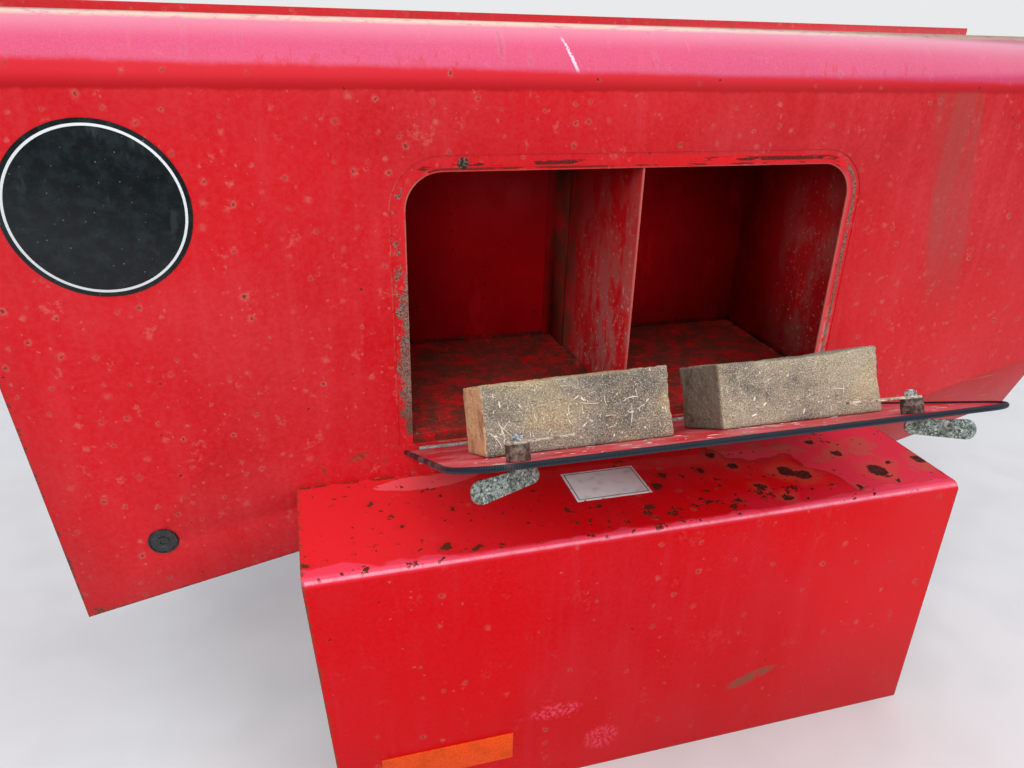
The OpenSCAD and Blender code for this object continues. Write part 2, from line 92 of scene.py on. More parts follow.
# Node arithmetic: a Value is one socket, and a Finish is one material
class Value:
    def __init__(self, finish, socket):
        self.finish, self.socket = finish, socket

    def maths(self, operation, *others):
        return self.finish.add("ShaderNodeMath", {"operation": operation}, dict(enumerate((self,) + others)))

    def __add__(self, other):
        return self.maths("ADD", other)

    def __radd__(self, other):
        return self.maths("ADD", other)

    def __sub__(self, other):
        return self.maths("SUBTRACT", other)

    def __rsub__(self, other):
        return self.finish.add("ShaderNodeMath", {"operation": "SUBTRACT"}, {0: other, 1: self})

    def __mul__(self, other):
        return self.maths("MULTIPLY", other)

    def __lt__(self, other):
        return self.maths("LESS_THAN", other)

    def smooth(self, low, high):  # 0 below low, 1 above high, eased between; falls where low is above high
        up = high > low
        return self.finish.add("ShaderNodeMapRange", {"interpolation_type": "SMOOTHSTEP"},
                               {"Value": self, "From Min": min(low, high), "From Max": max(low, high),
                                "To Min": 0.0 if up else 1.0, "To Max": 1.0 if up else 0.0})


class Finish:
    def __init__(self, name):
        self.material = bpy.data.materials.new(name)
        self.material.use_nodes = True
        self.tree = self.material.node_tree
        self.tree.nodes.clear()
        self.place = self.add("ShaderNodeTexCoord", out="Object")
        split = {0: self.place}
        self.x, self.y, self.z = (self.add("ShaderNodeSeparateXYZ", None, split, k) for k in "XYZ")

    def add(self, kind, settings=None, inputs=None, out=0):
        node = self.tree.nodes.new(kind)
        for key, value in (settings or {}).items():
            setattr(node, key, value)
        for key, value in (inputs or {}).items():
            if isinstance(value, Value):
                self.tree.links.new(value.socket, node.inputs[key])
            elif value is not None:
                node.inputs[key].default_value = value
        return Value(self, node.outputs[out])

    def vector(self, x, y, z=0.0):
        return self.add("ShaderNodeCombineXYZ", None, {0: x, 1: y, 2: z})

    def noise(self, scale, detail=3.0, at=None, rough=0.55):
        return self.add("ShaderNodeTexNoise", None,
                        {"Vector": at or self.place, "Scale": scale, "Detail": detail, "Roughness": rough})

    # Noises from coarse to fine that many places of a finish share, because equal nodes are worked out once
    def swell(self):
        return self.noise(9.0, 3.0)

    def patchy(self):
        return self.noise(24.0, 4.0, None, 0.72)

    def torn(self):
        return self.noise(56.0, 4.0, None, 0.72)

    def crumbly(self):
        return self.noise(170.0, 3.0, None, 0.7)

    def gritty(self):
        return self.noise(440.0, 2.0, None, 0.8)

    def stretched(self, sx, sy, sz):  # object coordinates scaled by axis
        return self.add("ShaderNodeMapping", {"vector_type": "POINT"},
                        {"Vector": self.place, "Scale": (sx, sy, sz)})

    def warped(self, at, amount, scale):  # a place pushed about by noise
        push = self.add("ShaderNodeTexNoise", None, {"Vector": at, "Scale": scale, "Detail": 1.0}, "Color")
        centred = self.add("ShaderNodeVectorMath", {"operation": "SUBTRACT"}, {0: push, 1: (0.5, 0.5, 0.5)})
        sized = self.add("ShaderNodeVectorMath", {"operation": "SCALE"}, {0: centred, "Scale": amount})
        return self.add("ShaderNodeVectorMath", {"operation": "ADD"}, {0: at, 1: sized})

    def mix(self, first, second, share):
        return self.add("ShaderNodeMix", {"data_type": "RGBA"}, {0: share, 6: first, 7: second}, 2)

    def specks(self, at, pitch, share, small, large, soft=0.6, heart=0.0):
        # Round marks: one per cell of that pitch for a share of the cells, of radius small to large
        # With a heart, also the dark middle of most marks, at that share of its radius
        cell = {"voronoi_dimensions": "2D"}
        sockets = {"Vector": at, "Scale": 1 / pitch}
        away = self.add("ShaderNodeTexVoronoi", cell, sockets, "Distance") * pitch
        drawn = self.add("ShaderNodeTexVoronoi", cell, sockets, "Color")
        first, second, third = (self.add("ShaderNodeSeparateColor", None, {0: drawn}, k) for k in range(3))
        size = second * (large - small) + small
        kept = first < share
        marks = self.fade(away, size, soft) * kept
        return (marks, self.fade(away, size * heart, 0.5) * kept * (third < 0.7)) if heart else marks

    def fade(self, away, size, soft):  # 1 near the middle, 0 from size outwards
        return self.add("ShaderNodeMapRange", {"interpolation_type": "SMOOTHSTEP"},
                        {"Value": away, "From Min": size * soft, "From Max": size,
                         "To Min": 1.0, "To Max": 0.0})

    def blot(self, u, v, midU, midV, radiusU, radiusV):  # soft oval patch on two coordinates
        du, dv = (u - midU) * (1 / radiusU), (v - midV) * (1 / radiusV)
        return (du * du + dv * dv).smooth(1.0, 0.25)

    def surface(self, *parts, **more):
        return self.output(self.shader(*parts, **more))

    def output(self, shader):
        out = self.tree.nodes.new("ShaderNodeOutputMaterial")
        self.tree.links.new(shader.socket, out.inputs[0])
        return self.material

    def shader(self, colour, rough, bumps=(), metal=0.0, coat=0.0, **fixed):
        # bumps: pairs of a height Value and its depth in metres
        normal = None
        for height, depth in bumps:
            normal = self.add("ShaderNodeBump", None,
                              {"Height": height, "Distance": depth, "Normal": normal})
        return self.add("ShaderNodeBsdfPrincipled", None,
                        {"Base Color": colour, "Roughness": rough, "Metallic": metal, "Coat Weight": coat,
                         "Normal": normal, **fixed})


def rgb(red, green, blue):  # screen colour, 0 to 255, as a linear one
    def linear(c):
        c /= 255
        return c / 12.92 if c <= 0.04045 else ((c + 0.055) / 1.055) ** 2.4
    return (linear(red), linear(green), linear(blue), 1.0)


# Floor, backdrop and light
stage = dict(floorSize=40.0, fades=(1.1, 3.4), pale=rgb(214, 214, 212), grain=rgb(209, 209, 207),
             under=rgb(168, 168, 166), backdrop=rgb(233, 234, 235), skyHigh=(0.86, 0.88, 0.98, 1),
             skyLow=(0.22, 0.21, 0.21, 1), skyline=(0.26, 0.42))
lamps = dict(
    key=dict(place=(-1.7, -3.2, 1.7), aim=(0.0, -0.3, -0.1), size=2.4, power=76),
    fill=dict(place=(2.2, -3.0, 0.9), aim=(0.1, -0.3, -0.2), size=2.6, power=37),
    top=dict(place=(0.2, -0.6, 3.0), aim=(0.0, -0.3, 0.0), size=3.0, power=27),
)


def makeStage(s):
    # The eye, mirrors and glass see it pale, and it throws less light on the part
    # Far off it has the colour of the backdrop
    finish = Finish("paleFloor")
    eye, mirror, glass = (finish.add("ShaderNodeLightPath", out=f"Is {kind} Ray")
                          for kind in ("Camera", "Glossy", "Transmission"))
    seen = (eye + mirror + glass).maths("MINIMUM", 1.0)
    pale = finish.mix(s["pale"], s["grain"], finish.noise(9.0, 1.0).smooth(0.35, 0.75))
    shaded = finish.shader(finish.mix(s["under"], pale, seen), 0.9)
    plain = finish.add("ShaderNodeEmission", None, {"Color": s["backdrop"]})
    away = (finish.x * finish.x + finish.y * finish.y).maths("SQRT")
    far = away.smooth(*s["fades"]) * eye
    material = finish.output(finish.add("ShaderNodeMixShader", None, {0: far, 1: shaded, 2: plain}))
    half = s["floorSize"] / 2
    level = cadBox[0].z - 0.0005
    mesh = bpy.data.meshes.new("floor")
    corners = [(-half, -half, level), (half, -half, level), (half, half, level), (-half, half, level)]
    mesh.from_pydata(corners, [], [(0, 1, 2, 3)])
    mesh.materials.append(material)
    floor = bpy.data.objects.new("floor", mesh)
    bpy.context.scene.collection.objects.link(floor)


def makeWorld(s):
    # Overcast sky: bright above the skyline, darker below it, plain pale seen directly or through glass
    world = bpy.data.worlds.new("sky")
    bpy.context.scene.world = world
    world.use_nodes = True
    tree = world.node_tree
    tree.nodes.clear()
    where = tree.nodes.new("ShaderNodeTexCoord")
    split = tree.nodes.new("ShaderNodeSeparateXYZ")
    ramp = tree.nodes.new("ShaderNodeValToRGB")
    seen = tree.nodes.new("ShaderNodeLightPath")
    either = tree.nodes.new("ShaderNodeMath")
    blend = tree.nodes.new("ShaderNodeMix")
    light = tree.nodes.new("ShaderNodeBackground")
    out = tree.nodes.new("ShaderNodeOutputWorld")
    either.operation = "MAXIMUM"
    blend.data_type = "RGBA"
    blend.inputs[7].default_value = s["backdrop"]
    stops = ramp.color_ramp.elements
    stops[0].position, stops[1].position = s["skyline"]
    stops[0].color, stops[1].color = s["skyLow"], s["skyHigh"]
    tree.links.new(where.outputs["Generated"], split.inputs[0])
    tree.links.new(split.outputs[2], ramp.inputs[0])
    tree.links.new(seen.outputs["Is Camera Ray"], either.inputs[0])
    tree.links.new(seen.outputs["Is Transmission Ray"], either.inputs[1])
    tree.links.new(either.outputs[0], blend.inputs[0])
    tree.links.new(ramp.outputs[0], blend.inputs[6])
    tree.links.new(blend.outputs[2], light.inputs[0])
    tree.links.new(light.outputs[0], out.inputs[0])


def makeLamp(name, s):
    data = bpy.data.lights.new(name, "AREA")
    data.energy, data.size = s["power"], s["size"]
    lamp = bpy.data.objects.new(name, data)
    lamp.visible_glossy = False  # the paint mirrors the sky, not the lamps
    bpy.context.scene.collection.objects.link(lamp)
    back = np.array(s["place"], float) - np.array(s["aim"], float)
    back /= np.linalg.norm(back)
    side = np.cross((0, 0, 1), back)
    side /= np.linalg.norm(side)
    turned = np.eye(4)
    turned[:3, 0], turned[:3, 1], turned[:3, 2], turned[:3, 3] = side, np.cross(back, side), back, s["place"]
    lamp.matrix_world = Matrix(turned.tolist())


makeStage(stage)
makeWorld(stage)
for name, settings in lamps.items():
    makeLamp(name, settings)
bpy.context.scene.view_settings.view_transform = "Standard"
print("stage, sky and lamps made")


# The opening and the door, worked out from the frame
def mm(value):
    return value / 1000


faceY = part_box("marker_disc")[1].y  # outer face of the hood
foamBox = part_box("foam_left")
hinge = [j for j in frame["joints"] if j["name"] == "door_hinge"][0]
doorTurn = math.radians(hinge["range_deg"][1])
hingeAt = np.array(hinge["pos_m"], float)
upDoor = np.array([0.0, -math.sin(doorTurn), math.cos(doorTurn)])  # from the hinge to the free edge
offDoor = np.array([0.0, math.cos(doorTurn), math.sin(doorTurn)])  # square to the door, towards the foam


def onDoor(x, out, up):  # place at x, out from the door's inner face and up from the hinge
    x, out, up = np.broadcast_arrays(np.asarray(x, float), out, up)
    return (hingeAt * (0, 1, 1) + x[..., None] * (1, 0, 0)
            + out[..., None] * offDoor + up[..., None] * upDoor)


def doorSpan(name):  # lowest and highest (x, out, up) of a node that lies on the open door
    raw = np.empty(len(nodes[name].data.vertices) * 3)
    nodes[name].data.vertices.foreach_get("co", raw)
    off = raw.reshape(-1, 3) - hingeAt * (0, 1, 1)
    local = np.stack([off[:, 0], off @ offDoor, off @ upDoor], 1)
    return local.min(0), local.max(0)


# Finishes
hoodPaint = dict(red=rgb(200, 8, 18), deep=rgb(186, 5, 15), chalk=rgb(206, 54, 62), halo=rgb(200, 92, 84),
                 heart=rgb(108, 52, 42), pit=rgb(46, 24, 22), chalky=1.0, marked=0.52, small=0.15)


def wearBase(finish, s, at):
    # Red paint, chalky in soft clouds and fine runs, with pale rings and rusty hearts where it pitted
    # Gives the colour, the rings and the dark middles
    cloud = finish.noise(5.0, 2.0).smooth(0.40, 0.70)
    colour = finish.mix(s["red"], s["deep"], finish.noise(2.2, 1.0).smooth(0.40, 0.66))
    runs = finish.noise(1.0, 3.0, finish.stretched(46, 10, 3.0), 0.6).smooth(0.46, 0.78)
    fine = finish.crumbly().smooth(0.34, 0.68)
    colour = finish.mix(colour, s["chalk"], (cloud * 0.30 + runs * 0.26 + fine * 0.30) * s["chalky"])
    crowd = finish.swell().smooth(0.40, 0.60) * 0.50 + 0.50
    ragged = finish.warped(at, 0.0067, 190.0)
    halo, heart = finish.specks(ragged, 0.031, s["marked"], 0.0034, 0.0082, 0.10, 0.36)
    tiny = finish.specks(ragged, 0.0135, s["small"], 0.0010, 0.0029, 0.3)
    pit = finish.specks(ragged, 0.085, 0.35, 0.0010, 0.0022)
    colour = finish.mix(colour, s["halo"], halo * crowd * (fine * 0.5 + 0.5) * 0.95)
    colour = finish.mix(colour, s["halo"], tiny * crowd * 0.70)
    patch = finish.patchy().smooth(0.60, 0.66) * finish.crumbly().smooth(0.40, 0.60)
    colour = finish.mix(colour, s["halo"], patch * s["marked"])
    colour = finish.mix(colour, s["heart"], heart * crowd * 0.95)
    colour = finish.mix(colour, s["pit"], pit * 0.9)
    return colour, halo * crowd, (heart * crowd + pit).maths("MINIMUM", 1.0)


# The pressed seat of the door around the opening
seat = dict(half=(0.337, 0.1975), middle=-0.0645, corner=0.050, width=0.021,
            rightLipHighlight=rgb(222, 78, 88), lip=rgb(158, 110, 90), tail=rgb(204, 150, 140), step=rgb(190, 108, 96),
            dirtDark=rgb(58, 46, 40), dirtPale=rgb(142, 122, 108), paint=rgb(150, 40, 36),
            damp=rgb(72, 56, 44), wet=rgb(226, 6, 20), rustDark=rgb(46, 24, 22), rustRed=rgb(104, 34, 28))


def openingRing(finish, s):
    # Distance from the edge of the opening: a rectangle with round corners
    halfW, halfH = s["half"]
    dx = (finish.x.maths("ABSOLUTE") - (halfW - s["corner"])).maths("MAXIMUM", 0.0)
    dz = ((finish.z - s["middle"]).maths("ABSOLUTE") - (halfH - s["corner"])).maths("MAXIMUM", 0.0)
    return (dx * dx + dz * dz).maths("SQRT") - s["corner"]


def seatWear(finish, colour):
    # Rubbed bare at the left, a grimy line and a painted pink highlight on the lip at the right, rust above
    # the opening
    s = seat
    d = openingRing(finish, s)
    onFace = finish.y.smooth(faceY + mm(6), faceY + mm(3)) * finish.z.smooth(-0.275, -0.262)
    ragged = finish.noise(75.0, 3.0, None, 0.65)
    torn = finish.torn() - 0.5
    grit = finish.gritty()
    left, right = finish.x.smooth(-0.315, -0.335), finish.x.smooth(0.318, 0.334)
    over = finish.z.smooth(0.118, 0.134) * (1 - right)
    low = finish.z.smooth(0.03, -0.06)
    lip = d.smooth(-0.0006, 0.0002) * d.smooth(mm(2.2), mm(1.0)) * ragged.smooth(0.30, 0.46)
    # Painted highlight: pink along the rolled lip at the right side of the opening
    colour = finish.mix(colour, s["rightLipHighlight"], d.smooth(mm(9), mm(3)) * right * onFace * 0.60)
    colour = finish.mix(colour, s["lip"], lip * (1 - over * 0.7) * onFace * 0.75)
    # Bare to about 14 mm out below the middle, and only patches of it above
    bare = (d - torn * 0.045 - (low * 0.0125 + 0.001)).smooth(0.0010, -0.0006) * low.smooth(0.0, 0.5)
    patch = d.smooth(mm(7), mm(10)) * d.smooth(mm(19), mm(16)) * (torn + low * 0.04).smooth(0.055, 0.085)
    worn = (bare + patch).maths("MINIMUM", 1.0) * left
    line = d.smooth(mm(9), mm(10)) * d.smooth(mm(17), mm(14)) * right * ragged.smooth(0.32, 0.42)
    tail = d.smooth(mm(3), mm(8)) * d.smooth(mm(20), mm(14)) * right * finish.z.smooth(-0.06, -0.16)
    colour = finish.mix(colour, s["tail"], tail * ragged.smooth(0.36, 0.50) * onFace * 0.7)
    grime = (worn + line * 0.9).maths("MINIMUM", 1.0) * onFace
    dirt = finish.mix(s["dirtDark"], s["dirtPale"], grit.smooth(0.32, 0.68))
    dirt = finish.mix(dirt, s["paint"], finish.crumbly().smooth(0.56, 0.62) * 0.7)
    dirt = finish.mix(dirt, s["damp"], finish.z.smooth(-0.17, -0.23) * left * 0.6)
    colour = finish.mix(colour, dirt, grime * 0.92)
    # Above: bright wet red, with a broken dark line of dirt through it
    runs = finish.noise(46.0, 3.0, finish.stretched(0.30, 1, 1.7), 0.7)
    rightHalf = finish.x.smooth(-0.02, 0.10)
    wet = d.smooth(mm(2), mm(4)) * d.smooth(mm(17), mm(13)) * over * (rightHalf * 0.6 + 0.2) * onFace
    colour = finish.mix(colour, s["wet"], wet * ragged.smooth(0.30, 0.45))
    broad = d.smooth(mm(6), mm(8)) * d.smooth(mm(15), mm(11)) * over
    broad = broad * (runs + rightHalf * 0.05).smooth(0.545, 0.585)
    thin = d.smooth(mm(1.5), mm(2.5)) * d.smooth(mm(5.5), mm(4)) * over
    thin = thin * (runs - rightHalf * 0.05).smooth(0.44, 0.49)
    rusty = (broad + thin * 0.8).maths("MINIMUM", 1.0) * onFace
    tone = finish.mix(s["rustDark"], s["rustRed"], grit.smooth(0.40, 0.60))
    colour = finish.mix(colour, tone, rusty * 0.94)
    step = (d.smooth(s["width"] - mm(1.2), s["width"] - mm(0.4))
            * d.smooth(s["width"] + mm(1.6), s["width"] + mm(0.6)))
    colour = finish.mix(colour, s["step"], step * ragged.smooth(0.44, 0.60) * left * onFace * 0.40)
    return colour, grime, rusty


def edgeNicks(finish, away, width):  # bare rusty nicks, fewer with the distance from an edge
    ragged = finish.crumbly() + away.smooth(width, 0.0) * 0.26
    return ragged.smooth(0.68, 0.73) * away.smooth(width, width * 0.6)


insideLook = dict(thin=rgb(128, 52, 46), thick=rgb(98, 76, 60))


def insideDirt(finish, colour, share=0.55):  # dusty, browned paint on the faces marked as inner
    s = insideLook
    inner = finish.add("ShaderNodeAttribute", {"attribute_name": "inner"}, None, "Fac")
    dirt = finish.mix(s["thin"], s["thick"], finish.patchy().smooth(0.42, 0.62))
    thick = finish.swell().smooth(0.30, 0.70) * 0.6 + 0.4
    return finish.mix(colour, dirt, inner * thick * share), inner


# The rolled edge and the top of the hood
# The pink, pale and cream colours of the roll are painted reflection and highlight of the sky, the two band
# reds painted shade
roll = dict(line=0.252, slope=0.012, bandLow=rgb(168, 2, 12), bandHigh=rgb(204, 28, 42),
            pinkSheen=rgb(214, 70, 128), pale=rgb(226, 140, 160), crestHighlight=rgb(226, 196, 150), drip=rgb(206, 20, 50),
            dust=rgb(178, 92, 84), ring=rgb(196, 128, 108), rust=rgb(132, 44, 34))


def rollSheen(finish, colour, whole):
    # A darker red band of painted shade, above it a painted pink sheen of the sky, partly sun-faded paint,
    # paler towards the top and cream at the crest as painted highlights, with drips in it
    # whole is 1 where the paint has no ring or dark middle
    s = roll
    line = s["line"] - finish.x * s["slope"] + (finish.swell() - 0.5) * 0.006
    line = line + (finish.crumbly() - 0.5) * 0.007
    rolled = (finish.z - line).smooth(-0.0025, 0.0065)
    # Painted shade: a darker red band below the sheen line, darker towards its foot, standing in for the
    # reflection of dark ground
    below = (finish.z - 0.231 + (finish.torn() - 0.5) * 0.010).smooth(-0.002, 0.003) * (1 - rolled)
    band = finish.mix(s["bandLow"], s["bandHigh"], finish.z.smooth(0.232, 0.252))
    colour = finish.mix(colour, band, below * whole * 0.92)
    colour, inner = insideDirt(finish, colour)
    front = finish.y.smooth(-0.330, -0.345) * (1 - inner)
    grains = finish.gritty().smooth(0.40, 0.66)
    # Painted reflection: the pink sheen of the sky on the roll, partly sun-faded paint
    colour = finish.mix(colour, s["pinkSheen"], rolled * front * (grains * 0.22 + 0.46))
    # Painted highlight: paler towards the top of the roll
    colour = finish.mix(colour, s["pale"], finish.z.smooth(0.280, 0.306) * front * 0.40)
    # Painted highlight: cream along the crest, broken by noise
    crestHighlight = finish.z.smooth(0.3035, 0.3085) * front * finish.torn().smooth(0.30, 0.52)
    colour = finish.mix(colour, s["crestHighlight"], crestHighlight * 0.75)
    drips = finish.noise(1.0, 3.0, finish.stretched(90, 20, 44), 0.7).smooth(0.56, 0.62)
    drips = drips * finish.swell().smooth(0.46, 0.60) * rolled * finish.z.smooth(0.286, 0.266)
    colour = finish.mix(colour, s["drip"], drips * front * 0.60)
    return colour, rolled, inner


def topDust(finish, colour):
    # Dust dried in rings on the flat top, and rust in spots
    s = roll
    lying = finish.y.smooth(-0.350, -0.325) * finish.y.smooth(-0.006, -0.012)
    lying = lying * finish.z.smooth(0.3080, 0.3100)
    field = finish.patchy()
    rings = field.smooth(0.50, 0.53) * field.smooth(0.58, 0.54)
    colour = finish.mix(colour, s["dust"], lying * finish.swell().smooth(0.36, 0.66) * 0.45)
    colour = finish.mix(colour, s["ring"], lying * rings * 0.40)
    colour = finish.mix(colour, s["rust"], lying * field.smooth(0.63, 0.68) * 0.70)
    return colour, lying


# Single marks of the hood's face
face = dict(film=rgb(150, 70, 62), scratch=rgb(246, 214, 226), rust=rgb(150, 78, 50),
            rustDark=rgb(84, 50, 38))


def faceMarks(finish, colour):
    # A leaning film of dust at the right, a pale scratch on the roll, rust at the edges and low at the left
    s = face
    film = finish.z.smooth(-0.16, 0.02) * finish.z.smooth(0.236, 0.230)
    film = film * (finish.x + finish.z * 0.235).smooth(0.500, 0.522)
    film = film * (finish.x + finish.z * 0.17).smooth(0.590, 0.582)
    streaks = finish.noise(1.0, 1.0, finish.stretched(60, 1, 1.2)).smooth(0.34, 0.60)
    colour = finish.mix(colour, s["film"], film * (streaks * 0.60 + 0.40) * 0.50)
    across = ((finish.x + 0.1145) + (finish.z - 0.272) * 0.40).maths("ABSOLUTE")
    scratch = (across + (finish.crumbly() - 0.5) * 0.010).smooth(0.0026, 0.0014)
    scratch = scratch * finish.z.smooth(0.252, 0.262) * finish.z.smooth(0.297, 0.288)
    colour = finish.mix(colour, s["scratch"], scratch * finish.crumbly().smooth(0.36, 0.46) * 0.85)
    leftAway = finish.x + 0.885 - (0.312 - finish.z) * 0.0857  # from the slanting left edge
    lowAway = finish.z + 0.487 - (finish.x + 0.8165) * 0.2098  # from the slanting lower edge
    nicks = edgeNicks(finish, lowAway, 0.006) * finish.x.smooth(-0.29, -0.31)
    nicks = nicks + edgeNicks(finish, leftAway, 0.007)
    crumbly = finish.crumbly()
    corner = finish.blot(finish.x, finish.z, -0.806, -0.480, 0.040, 0.010) * crumbly.smooth(0.46, 0.54)
    smear = (finish.blot(finish.x, finish.z, -0.405, -0.281, 0.034, 0.020)
             + finish.blot(finish.x, finish.z, -0.478, -0.290, 0.016, 0.024))
    smear = smear * finish.torn().smooth(0.50, 0.58)
    rust = (nicks + corner + smear * 0.8).maths("MINIMUM", 1.0)
    tone = finish.mix(s["rust"], s["rustDark"], crumbly.smooth(0.4, 0.6))
    return finish.mix(colour, tone, rust * 0.85)


def hoodRed():
    finish = Finish("hoodRed")
    colour, halo, heart = wearBase(finish, hoodPaint, finish.vector(finish.x, finish.z - finish.y))
    colour, rolled, inner = rollSheen(finish, colour, (1 - halo) * (1 - heart))
    colour, lying = topDust(finish, colour)
    colour, grime, rusty = seatWear(finish, colour)
    colour = faceMarks(finish, colour)
    rough = 0.42 + halo * 0.2 + grime * 0.3 + rusty * 0.3 - rolled * 0.10 + finish.patchy() * 0.10
    return finish.surface(colour, rough, [(finish.noise(4.2, 1.0), 0.007)],
                          coat=rolled * (1 - lying * 0.7) * (1 - inner) * 0.82,
                          **{"Coat Roughness": 0.12, "Coat IOR": 1.85, "Specular IOR Level": 0.28})


plainLook = dict(faded=rgb(150, 84, 80), splash=rgb(126, 88, 66), scratch=rgb(206, 120, 106),
                 run=rgb(124, 62, 38), ring=rgb(104, 76, 62))


def plainRed(name, paint, duller=0.0, splashed=0.6, holes=()):
    # Plain painted sheet, splashed lower down, with rust round each hole and in a run below it
    s = plainLook
    finish = Finish(name)
    colour, halo = wearBase(finish, paint, finish.vector(finish.x + finish.y * 0.5, finish.z - finish.y))[:2]
    colour = finish.mix(colour, s["faded"], finish.noise(7.0, 3.0).smooth(0.45, 0.75) * duller)
    splash = finish.torn().smooth(0.50, 0.60) * finish.z.smooth(0.05, -0.36)
    colour = finish.mix(colour, s["splash"], splash * splashed)
    drawn = finish.warped(finish.stretched(5, 5, 120), 1.4, 0.25)
    scratch = finish.noise(1.0, 3.0, drawn).smooth(0.665, 0.675) * finish.noise(6.0, 2.0).smooth(0.46, 0.56)
    colour = finish.mix(colour, s["scratch"], scratch * 0.7)
    for midX, midZ in holes:
        dx, dz = finish.x - midX, finish.z - midZ
        ring = ((dx * dx + dz * dz).maths("SQRT") + (finish.crumbly() - 0.5) * 0.012).smooth(0.0135, 0.0105)
        run = dx.maths("ABSOLUTE").smooth(0.006, 0.002) * dz.smooth(0.0, -0.01) * dz.smooth(-0.09, -0.02)
        colour = finish.mix(colour, s["run"], run * finish.torn().smooth(0.30, 0.60) * 0.6)
        colour = finish.mix(colour, s["ring"], ring * 0.9)
    rough = 0.42 + duller * 0.3 + halo * 0.2
    return finish.surface(colour, rough, [(finish.noise(4.2, 1.0), 0.007)], **{"Specular IOR Level": 0.22})


guardPaint = dict(hoodPaint, red=rgb(210, 2, 9), deep=rgb(196, 1, 8), chalk=rgb(204, 40, 52), chalky=0.80,
                  marked=0.15, small=0.06, top=-0.313, front=-0.640, left=-0.510, right=0.468, foot=-0.750)
# Middles and radii of the larger rust marks on the guard's top, in cm from the frame's centre
guardMarks = ((22.5, -54.5, 1.7), (24.5, -56, 1.6), (37, -57.5, 1.8), (40.5, -56, 0.8), (46, -56, 1.3),
              (34, -51.5, 1.0), (32, -47, 0.8), (13.5, -47, 1.0), (15, -51, 0.8), (9.5, -51, 0.8),
              (3, -51, 0.9), (16, -57.5, 1.0), (18.5, -61, 1.0), (11, -60, 0.7), (1, -53.5, 0.9),
              (-2.5, -58.5, 0.9), (31, -61, 0.7), (38, -61, 0.6), (-41, -48.5, 0.6), (-38.5, -52.5, 0.5),
              (-37.5, -55, 0.6), (-30, -52.5, 0.5), (-32.5, -61, 0.9), (-28.5, -62, 0.7),
              (-14, -56.5, 0.7), (-9.5, -56.5, 0.6), (-50.5, -60.5, 0.7))


def markField(finish, at, marks):  # 1 at the middle of a mark, 0 at its radius, below 0 outside
    nearest = None
    for midX, midY, radius in marks:
        away = finish.add("ShaderNodeVectorMath", {"operation": "DISTANCE"},
                          {0: at, 1: (midX / 100, midY / 100, 0.0)}, "Value") * (100 / radius)
        nearest = away if nearest is None else nearest.maths("MINIMUM", away)
    return 1 - nearest


# The wet red and the dry pink of the top are partly painted reflections, of the hood's red face and of the
# sky
guardTop = dict(wet=rgb(226, 46, 52), dryAndSheen=rgb(218, 66, 92), rim=rgb(128, 16, 26), edge=rgb(206, 40, 66),
                crescent=rgb(238, 104, 110), stainDark=rgb(134, 26, 18), stainPale=rgb(182, 96, 74),
                olive=rgb(160, 104, 74), markBrown=rgb(82, 44, 28), markBlack=rgb(46, 30, 30),
                markPale=rgb(96, 58, 40))


